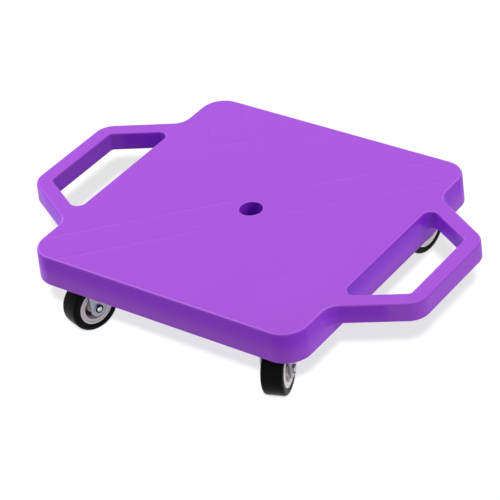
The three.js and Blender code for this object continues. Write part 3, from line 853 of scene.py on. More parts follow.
# %% Tree that copies a piece to the corners of a rectangle
rectangle_tree, start = new_tree(
    "copies_on_a_rectangle",
    {
        "Spacing X": "NodeSocketFloat",
        "Spacing Y": "NodeSocketFloat",
        "Turn Outwards": "NodeSocketFloat",
        "Material": "NodeSocketMaterial",
    },
)
grid = add_node(
    rectangle_tree,
    "GeometryNodeMeshGrid",
    {"Vertices X": 2, "Vertices Y": 2},
    {"Size X": start["Spacing X"], "Size Y": start["Spacing Y"]},
)
position = add_node(rectangle_tree, "GeometryNodeInputPosition")
apart = add_node(rectangle_tree, "ShaderNodeSeparateXYZ", links={0: position.outputs[0]})
outwards = add_node(
    rectangle_tree,
    "ShaderNodeMath",
    {"operation": "ARCTAN2"},
    {0: apart.outputs["Y"], 1: apart.outputs["X"]},
)
turn = add_node(
    rectangle_tree,
    "ShaderNodeMath",
    {"operation": "MULTIPLY"},
    {0: outwards.outputs[0], 1: start["Turn Outwards"]},
)
rotation = add_node(rectangle_tree, "ShaderNodeCombineXYZ", links={"Z": turn.outputs[0]})
copies = add_node(
    rectangle_tree,
    "GeometryNodeInstanceOnPoints",
    links={
        "Points": grid.outputs["Mesh"],
        "Instance": start["Geometry"],
        "Rotation": rotation.outputs[0],
    },
)
end_tree(rectangle_tree, copies.outputs["Instances"], start["Material"])


def at_each_corner(piece, material):
    """Copies a piece, modelled about the kingpin with the diagonal along +X, to all corners."""
    sizes = {"spacing_x": 2 * KINGPIN_X, "spacing_y": 2 * KINGPIN_Y, "turn_outwards": 1.0}
    run_tree(piece, rectangle_tree, material=material, **sizes)


# %% [markdown]
# ## Ribs under the deck
#
# A pair of ribs runs along each diagonal and stops in a pad for the caster plate, with a cross
# rib at each end and a boss over each screw. One corner's set is modelled about its kingpin, and
# the tree copies it. Afterwards the set is trimmed to the inside of the walls.

# %% Sizes of the ribs and pads
PLATE_LENGTH = 58 * MM
PLATE_WIDTH = 44 * MM
PLATE_SHEET = 2 * MM
SCREW_SPACING_LONG = 44 * MM
SCREW_SPACING_WIDE = 30 * MM
SEAT_GAP = 0.3 * MM
BOSS_RADIUS = 4.8 * MM
RIB_EDGE_ROUND = 0.5 * MM
PLATE_TOP_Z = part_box("front_left_mounting_plate")[1].z
print("The plates lie", round((PLATE_TOP_Z - RIM_Z) / MM, 1), "mm above the rim")


# %% Bars and rounded edges
def add_bar(form, low, high, placed=Matrix()):
    """Adds a box between two corners to a form, placed by a matrix."""
    middle = (Vector(low) + Vector(high)) / 2
    size = Vector(high) - Vector(low)
    matrix = placed @ Matrix.Translation(middle) @ Matrix.Diagonal((*size, 1.0))
    bmesh.ops.create_cube(form, size=1.0, matrix=matrix)


def round_edges(piece, width, segments=2, sharper_than=30):
    """Rounds the edges where faces meet at more than an angle in degrees."""
    modifier = piece.modifiers.new("edges", "BEVEL")
    modifier.width = width
    modifier.segments = segments
    modifier.limit_method = "ANGLE"
    modifier.angle_limit = math.radians(sharper_than)
    bake(piece)


# %% Ribs under the deck
rib_form = bmesh.new()
rib_bottom = RIM_Z + RIB_RECESS
rib_top = SKIN_Z + WALL / 2
pad_start = -PLATE_LENGTH / 2 - SEAT_GAP
pad_end = PLATE_LENGTH / 2
corner_reach = math.hypot(DECK_HALF_WIDTH, DECK_HALF_DEPTH) - KINGPIN_REACH
cross_half = PLATE_WIDTH / 2 + RIB
for side in (-1, 1):
    low_y = side * RIB_SPACING / 2 - RIB / 2
    high_y = low_y + RIB
    add_bar(rib_form, (-KINGPIN_REACH, low_y, rib_bottom), (pad_start, high_y, rib_top))
    add_bar(rib_form, (pad_start, low_y, PLATE_TOP_Z), (corner_reach, high_y, rib_top))
add_bar(rib_form, (pad_start - RIB, -cross_half, rib_bottom), (pad_start, cross_half, rib_top))
add_bar(rib_form, (pad_end - RIB, -cross_half, PLATE_TOP_Z), (pad_end, cross_half, rib_top))
ribs = new_piece("deck_ribs", as_mesh("deck_ribs", rib_form), polyethylene)
round_edges(ribs, RIB_EDGE_ROUND)
at_each_corner(ribs, polyethylene)
inside_of_walls = straight_block("inside_of_walls", body_corners(), RIM_Z, SKIN_Z + WALL, WALL / 2)
combine(ribs, inside_of_walls, "INTERSECT", crossing=True)
tube_space = turned_piece("tube_space", rod_profile(HOLE_RADIUS + OVERRUN, 0, TOP_Z), polyethylene)
combine(ribs, tube_space, "DIFFERENCE")
smooth(ribs)
finished(ribs, "deck", "purple_plastic")

# %% Bosses for the plate screws
ROD_SIDES = 32
boss_profile = rod_profile(BOSS_RADIUS, PLATE_TOP_Z, rib_top)
bosses = turned_piece("screw_bosses", boss_profile, polyethylene, ROD_SIDES)
screw_grid = {"spacing_x": SCREW_SPACING_LONG, "spacing_y": SCREW_SPACING_WIDE, "turn_outwards": 0.0}
run_tree(bosses, rectangle_tree, material=polyethylene, **screw_grid)
at_each_corner(bosses, polyethylene)
smooth(bosses)
finished(bosses, "deck", "purple_plastic")

# %% [markdown]
# ## Ribs in the handles
#
# Short ribs stiffen the hollow under each grip. They are a row with even steps, so a second small
# tree copies one rib along a line. The line's count and step are inputs. Each arm of a handle has
# one rib across its middle, placed by the slope of the arm.

# %% Tree that copies a piece in a row
row_tree, start = new_tree(
    "copies_in_a_row",
    {"Count": "NodeSocketInt", "Step": "NodeSocketFloat", "Material": "NodeSocketMaterial"},
)
reach = add_node(
    row_tree,
    "ShaderNodeMath",
    {"operation": "MULTIPLY_ADD", 1: -0.5, 2: 0.5},
    {0: start["Count"]},
)
first_y = add_node(
    row_tree,
    "ShaderNodeMath",
    {"operation": "MULTIPLY"},
    {0: reach.outputs[0], 1: start["Step"]},
)
line_start = add_node(row_tree, "ShaderNodeCombineXYZ", links={"Y": first_y.outputs[0]})
line_step = add_node(row_tree, "ShaderNodeCombineXYZ", links={"Y": start["Step"]})
line = add_node(
    row_tree,
    "GeometryNodeMeshLine",
    links={"Count": start["Count"], "Start Location": line_start.outputs[0], "Offset": line_step.outputs[0]},
)
row = add_node(
    row_tree,
    "GeometryNodeInstanceOnPoints",
    links={"Points": line.outputs["Mesh"], "Instance": start["Geometry"]},
)
end_tree(row_tree, row.outputs["Instances"], start["Material"])

# %% Ribs in the handles
GRIP_RIBS = 3
HANDLE_RIB_RECESS = 1.5 * MM
handle_rib_bottom = HANDLE_BOTTOM_Z + HANDLE_RIB_RECESS
arm_middle_x = (DECK_HALF_WIDTH + SLOT_REACH) / 2
arm_middle_y = GRIP_LENGTH / 2 + (SLOT_REACH - DECK_HALF_WIDTH) / 2 * math.tan(ARM_SLOPE)

for side, label in ((-1, "left"), (1, "right")):
    grip_form = bmesh.new()
    rib_ends = sorted((side * (SLOT_REACH + WALL / 2), side * (HANDLE_REACH - WALL / 2)))
    add_bar(grip_form, (rib_ends[0], -RIB / 2, handle_rib_bottom), (rib_ends[1], RIB / 2, rib_top))
    name = f"{label}_grip_ribs"
    grip_ribs = new_piece(name, as_mesh(name, grip_form), polyethylene)
    run_tree(grip_ribs, row_tree, count=GRIP_RIBS, step=GRIP_LENGTH / (GRIP_RIBS + 1), material=polyethylene)
    finished(grip_ribs, "deck", "purple_plastic")

    arm_form = bmesh.new()
    for end in (-1, 1):
        slot_side = Matrix.Translation((side * arm_middle_x, end * arm_middle_y, 0))
        across_arm = math.atan2(end * math.cos(ARM_SLOPE), side * math.sin(ARM_SLOPE))
        add_bar(
            arm_form,
            (WALL / 2, -RIB / 2, handle_rib_bottom),
            (HANDLE_BAND - WALL / 2, RIB / 2, rib_top),
            slot_side @ Matrix.Rotation(across_arm, 4, "Z"),
        )
    name = f"{label}_arm_ribs"
    finished(new_piece(name, as_mesh(name, arm_form), polyethylene), "deck", "purple_plastic")

# %% [markdown]
# ## Caster parts that stay with the deck
#
# The mounting plate is pressed from 2 mm sheet: flat at the screws, with a round dish that holds
# the upper balls. Below it the kingpin carries a small cup with the lower balls. The plate is
# a cut block joined to a turned dish, and the rest is turned. Each race has its balls as a ring,
# which a third tree makes from their number and their pitch radius.

# %% Sizes of the swivel
DISH_RADIUS = 14.5 * MM
DISH_SLANT = 2 * MM
DISH_DEPTH = 1.2 * MM
DISH_LAP = 0.5 * MM
PLATE_CORNER_RADIUS = 5 * MM
PLATE_BOTTOM_Z = PLATE_TOP_Z - PLATE_SHEET
DISH_TOP_Z = PLATE_TOP_Z - DISH_DEPTH
DISH_BOTTOM_Z = DISH_TOP_Z - PLATE_SHEET
KINGPIN_RADIUS = 4 * MM
BORE_RADIUS = KINGPIN_RADIUS + SEAT_GAP
SCREW_HOLE_RADIUS = 2.4 * MM
SHEET_EDGE_ROUND = 0.3 * MM
SWIVEL_SIDES = 64

CUP_BOTTOM_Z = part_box("front_left_race_cup")[0].z
CUP_SHEET = 1.2 * MM
CUP_TOP_Z = CUP_BOTTOM_Z + CUP_SHEET
CUP_RADIUS = 11.2 * MM
CUP_LIP = 1.9 * MM
print("From the cup to the plate:", round((PLATE_TOP_Z - CUP_BOTTOM_Z) / MM, 1), "mm")

# %% Mounting plates
plate_half = [
    (PLATE_LENGTH / 2, -PLATE_WIDTH / 2, PLATE_CORNER_RADIUS),
    (PLATE_LENGTH / 2, PLATE_WIDTH / 2, PLATE_CORNER_RADIUS),
]
plate_corners = plate_half + mirrored(plate_half)
plate_rings = [level_ring(plate_corners, 0.0, height) for height in (PLATE_BOTTOM_Z, PLATE_TOP_Z)]
plates = new_piece("mounting_plates", lofted_mesh("mounting_plates", plate_rings), zinc_plate)
dish_edge = DISH_RADIUS + DISH_SLANT
dish_space = rod_profile(dish_edge, DISH_BOTTOM_Z - OVERRUN, PLATE_TOP_Z + OVERRUN)
combine(plates, turned_piece("dish_space", dish_space, zinc_plate, SWIVEL_SIDES), "DIFFERENCE")
for along_side in (-1, 1):
    for across_side in (-1, 1):
        hole = turned_piece("screw_hole", rod_profile(SCREW_HOLE_RADIUS, 0, TOP_Z), zinc_plate, ROD_SIDES)
        hole_x = along_side * SCREW_SPACING_LONG / 2
        hole_y = across_side * SCREW_SPACING_WIDE / 2
        hole.data.transform(Matrix.Translation((hole_x, hole_y, 0)))
        combine(plates, hole, "DIFFERENCE")
round_edges(plates, SHEET_EDGE_ROUND)
dish_profile = [
    (BORE_RADIUS, DISH_BOTTOM_Z),
    (DISH_RADIUS, DISH_BOTTOM_Z),
    (dish_edge, PLATE_BOTTOM_Z),
    (dish_edge + DISH_LAP, PLATE_BOTTOM_Z),
    (dish_edge + DISH_LAP, PLATE_TOP_Z),
    (dish_edge, PLATE_TOP_Z),
    (DISH_RADIUS, DISH_TOP_Z),
    (BORE_RADIUS, DISH_TOP_Z),
]
combine(plates, turned_piece("dish", dish_profile, zinc_plate, SWIVEL_SIDES), "UNION")
at_each_corner(plates, zinc_plate)
smooth(plates)
finished(plates, "deck", "zinc_plate", *[f"{caster}_mounting_plate" for caster in CASTERS])

# %% Race cups and kingpins
cup_floor = CUP_RADIUS - CUP_SHEET
cup_profile = [
    (BORE_RADIUS, CUP_BOTTOM_Z),
    *arc(cup_floor, CUP_TOP_Z, CUP_SHEET, -90, 0),
    *arc(CUP_RADIUS - CUP_SHEET / 2, CUP_TOP_Z + CUP_LIP - CUP_SHEET / 2, CUP_SHEET / 2, 0, 180),
    (cup_floor, CUP_TOP_Z),
    (BORE_RADIUS, CUP_TOP_Z),
]
cups = turned_piece("race_cups", cup_profile, zinc_plate, SWIVEL_SIDES)
at_each_corner(cups, zinc_plate)
smooth(cups)
finished(cups, "deck", "zinc_plate", *[f"{caster}_race_cup" for caster in CASTERS])

kingpin_low, kingpin_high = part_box("front_left_kingpin")
FOOT_RADIUS = 5.5 * MM
HEAD_RADIUS = 6.5 * MM
foot_height = CUP_BOTTOM_Z - kingpin_low.z
head_height = kingpin_high.z - DISH_TOP_Z
kingpin_profile = [
    (0, kingpin_low.z),
    (FOOT_RADIUS - foot_height, kingpin_low.z),
    *arc(FOOT_RADIUS - foot_height, CUP_BOTTOM_Z, foot_height, -90, 0),
    (KINGPIN_RADIUS, CUP_BOTTOM_Z),
    (KINGPIN_RADIUS, DISH_TOP_Z),
    *arc(HEAD_RADIUS - head_height, DISH_TOP_Z, head_height, 0, 90),
    (0, kingpin_high.z),
]
kingpins = turned_piece("kingpins", kingpin_profile, riveted_steel, SWIVEL_SIDES)
at_each_corner(kingpins, riveted_steel)
smooth(kingpins)
finished(kingpins, "deck", "bright_steel", *[f"{caster}_kingpin" for caster in CASTERS])

# %% Tree for a ring of balls
ball_tree, start = new_tree(
    "ring_of_balls",
    {
        "Ball Radius": "NodeSocketFloat",
        "Pitch Radius": "NodeSocketFloat",
        "Count": "NodeSocketInt",
        "Height": "NodeSocketFloat",
        "Material": "NodeSocketMaterial",
    },
)
ball = add_node(
    ball_tree,
    "GeometryNodeMeshUVSphere",
    {"Segments": 16, "Rings": 10},
    {"Radius": start["Ball Radius"]},
)
rounded_ball = add_node(ball_tree, "GeometryNodeSetShadeSmooth", links={"Geometry": ball.outputs["Mesh"]})
circle = add_node(
    ball_tree,
    "GeometryNodeMeshCircle",
    links={"Vertices": start["Count"], "Radius": start["Pitch Radius"]},
)
balls_on_circle = add_node(
    ball_tree,
    "GeometryNodeInstanceOnPoints",
    links={"Points": circle.outputs["Mesh"], "Instance": rounded_ball.outputs["Geometry"]},
)
lift = add_node(ball_tree, "ShaderNodeCombineXYZ", links={"Z": start["Height"]})
lifted = add_node(
    ball_tree,
    "GeometryNodeTransform",
    links={"Geometry": balls_on_circle.outputs["Instances"], "Translation": lift.outputs[0]},
)
end_tree(ball_tree, lifted.outputs["Geometry"], start["Material"])

# %% Balls above and below the fork's crown
UPPER_BALL_RADIUS = 1.75 * MM
LOWER_BALL_RADIUS = 1.5 * MM
# Each row has the name, the ball's radius, the pitch radius, the number of balls and their height
ball_rows = (
    ("upper_balls", UPPER_BALL_RADIUS, 12.4 * MM, 20, DISH_BOTTOM_Z - UPPER_BALL_RADIUS),
    ("lower_balls", LOWER_BALL_RADIUS, 7.8 * MM, 14, CUP_TOP_Z + LOWER_BALL_RADIUS),
)
for name, ball_radius, pitch_radius, count, height in ball_rows:
    balls = new_piece(name, bpy.data.meshes.new(name), ball_steel)
    ring = {"ball_radius": ball_radius, "pitch_radius": pitch_radius, "count": count, "height": height}
    run_tree(balls, ball_tree, material=ball_steel, **ring)
    at_each_corner(balls, ball_steel)
    finished(balls, "deck", "bright_steel")

# %% [markdown]
# ## Plate screws
#
# Four pan head screws hold each plate. Only the heads show, from below, so the head gets its dome
# and a cross recess, and the shank is plain. One screw is modelled upside down about its own
# axis. The rectangle tree runs twice: once for the four holes of a plate, once for the corners.

# %% Plate screws
screw_low, screw_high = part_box("front_left_plate_screw_1")
SCREW_RADIUS = 2.1 * MM
SCREW_POINT_LENGTH = 3.15 * MM
SCREW_HEAD_RADIUS = 4.1 * MM
CROSS_WIDTH = 1.0 * MM
CROSS_REACH = 2.3 * MM
CROSS_DEPTH = 1.3 * MM
head_depth = PLATE_BOTTOM_Z - screw_low.z
screw_profile = [
    (0, screw_low.z),
    *arc(SCREW_HEAD_RADIUS - head_depth, PLATE_BOTTOM_Z, head_depth, -90, 0),
    (SCREW_RADIUS, PLATE_BOTTOM_Z),
    (SCREW_RADIUS, screw_high.z - SCREW_POINT_LENGTH),
    (0, screw_high.z),
]
screws = turned_piece("plate_screws", screw_profile, zinc_plate, ROD_SIDES)
for half_x, half_y in ((CROSS_REACH, CROSS_WIDTH / 2), (CROSS_WIDTH / 2, CROSS_REACH)):
    recess_form = bmesh.new()
    low = (-half_x, -half_y, screw_low.z - OVERRUN)
    add_bar(recess_form, low, (half_x, half_y, screw_low.z + CROSS_DEPTH))
    combine(screws, new_piece("recess", as_mesh("recess", recess_form), zinc_plate), "DIFFERENCE")
run_tree(screws, rectangle_tree, material=zinc_plate, **screw_grid)
at_each_corner(screws, zinc_plate)
smooth(screws)
screw_nodes = [f"{caster}_plate_screw_{number}" for caster in CASTERS for number in (1, 2, 3, 4)]
finished(screws, "deck", "zinc_plate", *screw_nodes)

# %% [markdown]
# ## The pressed fork
#
# The fork is one strip of steel bent into an arch over the wheel, with a round crown on top. A
# sheet part is best made as the sheet's middle surface and thickened afterwards, so every bend
# keeps the same thickness. The side view gives the front and back edge at each height: a straight
# back edge, a slanting front edge, and a round end about the axle.

# %% Side view of the fork
FORK_SHEET = 1.8 * MM
FORK_OUTER_HALF = 13.8 * MM
FORK_BEND = 3.3 * MM
LEG_END_RADIUS = 8.3 * MM
LEG_FRONT = 11 * MM
LEG_BACK = 18 * MM
CROWN_RADIUS = 18.5 * MM
CROWN_EDGE = 2.8 * MM
CROWN_BOTTOM_Z = 55.6 * MM
CROWN_TOP_Z = CROWN_BOTTOM_Z + FORK_SHEET
FRONT_SHOULDER_Z = CROWN_BOTTOM_Z - 4 * MM
BACK_SHOULDER_Z = CROWN_BOTTOM_Z - 10 * MM
END_STEPS = 24
BEND_STEPS = 8

shoulder = Vector((LEG_FRONT, FRONT_SHOULDER_Z))
axle_point = Vector((-CASTER_TRAIL, AXLE_Z))
to_shoulder = shoulder - axle_point
# The front edge touches the round end at this angle
touch = math.atan2(to_shoulder.y, to_shoulder.x) - math.acos(LEG_END_RADIUS / to_shoulder.length)


def back_edge(height):
    """Y of the leg's back edge at a height above the axle."""
    share = max(0.0, (height - BACK_SHOULDER_Z) / (CROWN_TOP_Z - BACK_SHOULDER_Z))
    straight = -CASTER_TRAIL - LEG_END_RADIUS
    return straight + share * (-LEG_BACK - straight)


def leg_outline(top):
    """Points of one leg in side view, as (y, z), up to a height."""
    points = [
        Vector((LEG_FRONT, top)),
        Vector((back_edge(top), top)),
        Vector((back_edge(0), BACK_SHOULDER_Z)),
    ]
    for step in range(END_STEPS + 1):
        angle = math.pi + (touch + math.pi) * step / END_STEPS
        points.append(axle_point + LEG_END_RADIUS * Vector((math.cos(angle), math.sin(angle))))
    points.append(shoulder)
    return points


print("The front edge meets the round end at", round(math.degrees(touch)), "degrees")


# %% Middle surface of the fork
def fork_mesh():
    """Middle surface of the arch: two flat legs, two bends and a flat web."""
    middle_half = FORK_OUTER_HALF - FORK_SHEET / 2
    web_z = CROWN_BOTTOM_Z + FORK_SHEET / 2
    bend_z = web_z - FORK_BEND
    form = bmesh.new()
    rows = []
    for side in (1, -1):
        outline = [form.verts.new((side * middle_half, y, z)) for y, z in leg_outline(bend_z)]
        form.faces.new(outline if side > 0 else outline[::-1])
        bend_rows = [outline[:2]]
        for step in range(1, BEND_STEPS + 1):
            angle = math.pi / 2 * step / BEND_STEPS
            x = side * (middle_half - FORK_BEND * (1 - math.cos(angle)))
            z = bend_z + FORK_BEND * math.sin(angle)
            bend_rows.append([form.verts.new((x, LEG_FRONT, z)), form.verts.new((x, back_edge(z), z))])
        rows += bend_rows if side > 0 else bend_rows[::-1]
    for (front, back), (next_front, next_back) in zip(rows, rows[1:]):
        form.faces.new((back, front, next_front, next_back))
    bmesh.ops.recalc_face_normals(form, faces=form.faces)
    return as_mesh("fork", form)


# %% The fork with its thickness, crown and bore
FORK_EDGE_SEGMENTS = 3
FORK_EDGE_ANGLE = 50
# The crown stands this much proud of the strip, so that no two faces lie in one plane
CROWN_PROUD = SHEET_EDGE_ROUND / 5

fork_model = new_piece("fork_model", fork_mesh(), zinc_plate)
thickness = fork_model.modifiers.new("sheet", "SOLIDIFY")
thickness.thickness = FORK_SHEET
thickness.offset = 0.0
thickness.use_even_offset = True
round_edges(fork_model, SHEET_EDGE_ROUND, FORK_EDGE_SEGMENTS, FORK_EDGE_ANGLE)
crown_rim = CROWN_RADIUS - FORK_SHEET / 2
crown_profile = [
    (0, CROWN_BOTTOM_Z - CROWN_PROUD),
    (CROWN_RADIUS - 2 * FORK_SHEET, CROWN_BOTTOM_Z - CROWN_PROUD),
    *arc(CROWN_RADIUS - FORK_SHEET, CROWN_TOP_Z, FORK_SHEET, -60, 0),
    *arc(crown_rim, CROWN_TOP_Z + CROWN_EDGE - FORK_SHEET / 2, FORK_SHEET / 2, 0, 180),
    (CROWN_RADIUS - FORK_SHEET, CROWN_TOP_Z + FORK_SHEET / 2),
    (CROWN_RADIUS - 1.5 * FORK_SHEET, CROWN_TOP_Z + CROWN_PROUD),
    (0, CROWN_TOP_Z + CROWN_PROUD),
]
combine(fork_model, turned_piece("crown", crown_profile, zinc_plate, SWIVEL_SIDES), "UNION")
bore = rod_profile(BORE_RADIUS + SEAT_GAP, 0, TOP_Z)
combine(fork_model, turned_piece("bore", bore, zinc_plate, ROD_SIDES), "DIFFERENCE")
smooth(fork_model)


# %% Copies of the models on each caster
def on_each_caster(body, *rows):
    """Copies models to each caster's body. A row has a model, a name, a slot and its nodes."""
    for caster in CASTERS:
        for model, label, slot, *nodes in rows:
            mesh = model.data.copy()
            mesh.name = f"{caster}_{label}"
            mesh.transform(caster_matrix(caster))
            piece = bpy.data.objects.new(mesh.name, mesh)
            bpy.context.scene.collection.objects.link(piece)
            finished(piece, f"{caster}_{body}", slot, *[f"{caster}_{node}" for node in nodes])
    for model, *_ in rows:
        bpy.data.objects.remove(model)


on_each_caster("caster", (fork_model, "pressed_fork", "zinc_plate", "fork"))

# %% [markdown]
# ## Axle rivet, washers and sleeve
#
# A rivet goes through both legs and is headed over at each end: a flange, a bright button on it,
# and the star that the heading tool leaves in the button. A blackened washer lies round each
# button. Between the legs the rivet runs in a sleeve. All are turned about +X at the height of the
# axle, and the star is cut out of the button afterwards.

# %% Axle rivet
AXLE_RADIUS = 3 * MM
AXLE_SIDES = 48
RIVET_HEAD_RADIUS = 4.5 * MM
RIVET_HEAD_HEIGHT = 1.7 * MM
RIVET_BUTTON_RADIUS = 2.6 * MM
RIVET_FLANGE = 0.5 * MM
RIVET_DOME = 0.8 * MM
FINE_ROUND = 0.2 * MM
FINE_STEPS = 3
STAR_BARS = 3
STAR_WIDTH = 0.6 * MM
STAR_REACH = 2.0 * MM
STAR_DEPTH = 0.5 * MM
rivet_seat = FORK_OUTER_HALF + SEAT_GAP
flange_face = rivet_seat + RIVET_FLANGE
rivet_end = rivet_seat + RIVET_HEAD_HEIGHT


def on_axle(mesh):
    """Turns a mesh from +Z to +X and puts it at the axle."""
    quarter = Matrix.Rotation(math.pi / 2, 4, "Y")
    mesh.transform(Matrix.Translation((0, -CASTER_TRAIL, AXLE_Z)) @ quarter)
    return mesh


head_side = [
    (RIVET_HEAD_RADIUS, rivet_seat),
    (RIVET_HEAD_RADIUS, flange_face - FINE_ROUND),
    *arc(RIVET_HEAD_RADIUS - FINE_ROUND, flange_face - FINE_ROUND, FINE_ROUND, 0, 90, FINE_STEPS),
    (RIVET_BUTTON_RADIUS, flange_face),
    *arc(RIVET_BUTTON_RADIUS - RIVET_DOME, rivet_end - RIVET_DOME, RIVET_DOME, 0, 90),
]
rivet_profile = [(0, -rivet_end)]
rivet_profile += [(radius, -height) for radius, height in reversed(head_side)]
rivet_profile += [(AXLE_RADIUS, -rivet_seat), (AXLE_RADIUS, rivet_seat), *head_side]
rivet_profile += [(0, rivet_end)]
rivet_model = turned_piece("rivet_model", rivet_profile, riveted_steel, AXLE_SIDES)
for side in (-1, 1):
    for bar in range(STAR_BARS):
        star_form = bmesh.new()
        depths = sorted((side * (rivet_end - STAR_DEPTH), side * (rivet_end + OVERRUN)))
        low = (-STAR_REACH, -STAR_WIDTH / 2, depths[0])
        high = (STAR_REACH, STAR_WIDTH / 2, depths[1])
        add_bar(star_form, low, high, Matrix.Rotation(math.pi * bar / STAR_BARS, 4, "Z"))
        combine(rivet_model, new_piece("star", as_mesh("star", star_form), riveted_steel), "DIFFERENCE")
on_axle(rivet_model.data)
smooth(rivet_model)


# %% Washers and sleeve
def pair_of_rings(name, inner, outer, low, height, material):
    """Two flat rings about the axle, one on each side, at a distance from the middle."""
    form = bmesh.new()
    edge = low + height - FINE_ROUND
    ring = [
        (inner, low),
        (outer, low),
        *arc(outer - FINE_ROUND, edge, FINE_ROUND, 0, 90, FINE_STEPS),
        (inner, edge),
    ]
    for profile in (ring, [(radius, -distance) for radius, distance in reversed(ring)]):
        form.from_mesh(turned_mesh("ring", profile, AXLE_SIDES))
    piece = new_piece(name, on_axle(as_mesh(name, form)), material)
    smooth(piece)
    return piece


WASHER_RADIUS = 4.3 * MM
WASHER_HEIGHT = 0.5 * MM
washer_model = pair_of_rings(
    "washer_model", RIVET_BUTTON_RADIUS, WASHER_RADIUS, flange_face, WASHER_HEIGHT, blackened_steel
)

SLEEVE_BORE = AXLE_RADIUS + SEAT_GAP
SLEEVE_RADIUS = SLEEVE_BORE + 1.1 * MM
sleeve_half = FORK_OUTER_HALF - FORK_SHEET - SEAT_GAP
sleeve_profile = [
    (SLEEVE_BORE, -sleeve_half),
    (SLEEVE_RADIUS, -sleeve_half),
    (SLEEVE_RADIUS, sleeve_half),
    (SLEEVE_BORE, sleeve_half),
]
sleeve_model = turned_piece("sleeve_model", sleeve_profile, riveted_steel, AXLE_SIDES)
on_axle(sleeve_model.data)
smooth(sleeve_model)
on_each_caster(
    "caster",
    (rivet_model, "headed_rivet", "bright_steel", "axle_rivet"),
    (washer_model, "rivet_washers", "bright_steel"),
    (sleeve_model, "bearing_sleeve", "bright_steel", "axle_sleeve"),
)

# %% [markdown]
# ## Wheels
#
# A wheel is a nylon hub with a rubber tyre moulded round it. Both are turned parts, so a detailed
# profile gives them all they have: the hub's outer ring with a fine groove round it, the deep
# recess, the boss, and the tyre's round shoulders, the raised parting line round its tread and the
# small step where it meets the hub. The groove is drawn 0.9 mm wide, wider than the real one, so
# that it shows. A thin dark brown ring lies in the recess on each side and paints the shade there.


# %% Hub
def both_sides(side):
    """Whole profile of a wheel part from its right half, which starts at the middle."""
    return [(radius, -height) for radius, height in reversed(side)] + side[1:]


WHEEL_RADIUS = AXLE_Z
WHEEL_HALF_WIDTH = 10.3 * MM
HUB_RADIUS = 17.8 * MM
HUB_RING_WIDTH = 5.3 * MM
HUB_RING_INSET = 0.3 * MM
HUB_EDGE_ROUND = 0.5 * MM
HUB_FILLET = 2 * HUB_EDGE_ROUND
HUB_GROOVE_RADIUS = 15.2 * MM
HUB_GROOVE_HALF = 0.45 * MM
HUB_GROOVE_DEPTH = 1.0 * MM
HUB_WEB_HALF = 3.5 * MM
HUB_BOSS_RADIUS = 7.5 * MM
HUB_BOSS_STAND = 0.6 * MM
HUB_DRAFT = 0.5 * MM
HUB_BORE = SLEEVE_RADIUS + SEAT_GAP
ring_face = WHEEL_HALF_WIDTH - HUB_RING_INSET
groove_floor = ring_face - HUB_GROOVE_DEPTH
recess_radius = HUB_RADIUS - HUB_RING_WIDTH - HUB_DRAFT
boss_face = WHEEL_HALF_WIDTH + HUB_BOSS_STAND
hub_side = [
    (HUB_RADIUS, 0),
    (HUB_RADIUS, ring_face - HUB_EDGE_ROUND),
    *arc(HUB_RADIUS - HUB_EDGE_ROUND, ring_face - HUB_EDGE_ROUND, HUB_EDGE_ROUND, 0, 90),
    (HUB_GROOVE_RADIUS + HUB_GROOVE_HALF, ring_face),
    (HUB_GROOVE_RADIUS + HUB_GROOVE_HALF / 2, groove_floor),
    (HUB_GROOVE_RADIUS - HUB_GROOVE_HALF / 2, groove_floor),
    (HUB_GROOVE_RADIUS - HUB_GROOVE_HALF, ring_face),
    *arc(recess_radius + HUB_DRAFT + HUB_EDGE_ROUND, ring_face - HUB_EDGE_ROUND, HUB_EDGE_ROUND, 90, 180),
    *arc(recess_radius - HUB_FILLET, HUB_WEB_HALF + HUB_FILLET, HUB_FILLET, 0, -90),
    *arc(HUB_BOSS_RADIUS + HUB_FILLET, HUB_WEB_HALF + HUB_FILLET, HUB_FILLET, -90, -180),
    *arc(HUB_BOSS_RADIUS - HUB_DRAFT - HUB_EDGE_ROUND, boss_face - HUB_EDGE_ROUND, HUB_EDGE_ROUND, 0, 90),
    (HUB_BORE, boss_face),
]
hub_model = new_piece("hub_model", on_axle(turned_mesh("hub", both_sides(hub_side))), hub_nylon)
smooth(hub_model)

# %% Rings of painted shade in the hub's recess
SHADE_RING_HEIGHT = 0.6 * MM
SHADE_RING_LIFT = 0.3 * MM
SHADE_RING_INNER_GAP = 0.1 * MM
SHADE_RING_OUTER_GAP = 0.5 * MM
seal_model = pair_of_rings(
    "seal_model",
    HUB_BOSS_RADIUS + SHADE_RING_INNER_GAP,
    recess_radius - SHADE_RING_OUTER_GAP,
    HUB_WEB_HALF + SHADE_RING_LIFT,
    SHADE_RING_HEIGHT,
    brown_felt,
)
# Size of each ring of painted shade
print("Each seal is", round((recess_radius - SHADE_RING_OUTER_GAP) * 2 / MM, 1), "mm across")

# %% Tyre
TYRE_SHOULDER = 3 * MM
SHOULDER_STEPS = 14
TYRE_BORE_GAP = 0.05 * MM
BEAD_RADIUS = 19.2 * MM
BEAD_STEP = 0.45 * MM
PARTING_LINE = 0.12 * MM
tread_radius = WHEEL_RADIUS - PARTING_LINE
shoulder_centre = (tread_radius - TYRE_SHOULDER, WHEEL_HALF_WIDTH - TYRE_SHOULDER)
tyre_side = [
    (WHEEL_RADIUS, 0),
    (WHEEL_RADIUS, PARTING_LINE * 2),
    (tread_radius, PARTING_LINE * 4),
    *arc(*shoulder_centre, TYRE_SHOULDER, 0, 90, SHOULDER_STEPS),
    (BEAD_RADIUS + BEAD_STEP, WHEEL_HALF_WIDTH),
    (BEAD_RADIUS, WHEEL_HALF_WIDTH - BEAD_STEP),
    (HUB_RADIUS + TYRE_BORE_GAP, WHEEL_HALF_WIDTH - BEAD_STEP),
]
tyre_model = new_piece("tyre_model", on_axle(turned_mesh("tyre", both_sides(tyre_side))), tread_rubber)
smooth(tyre_model)
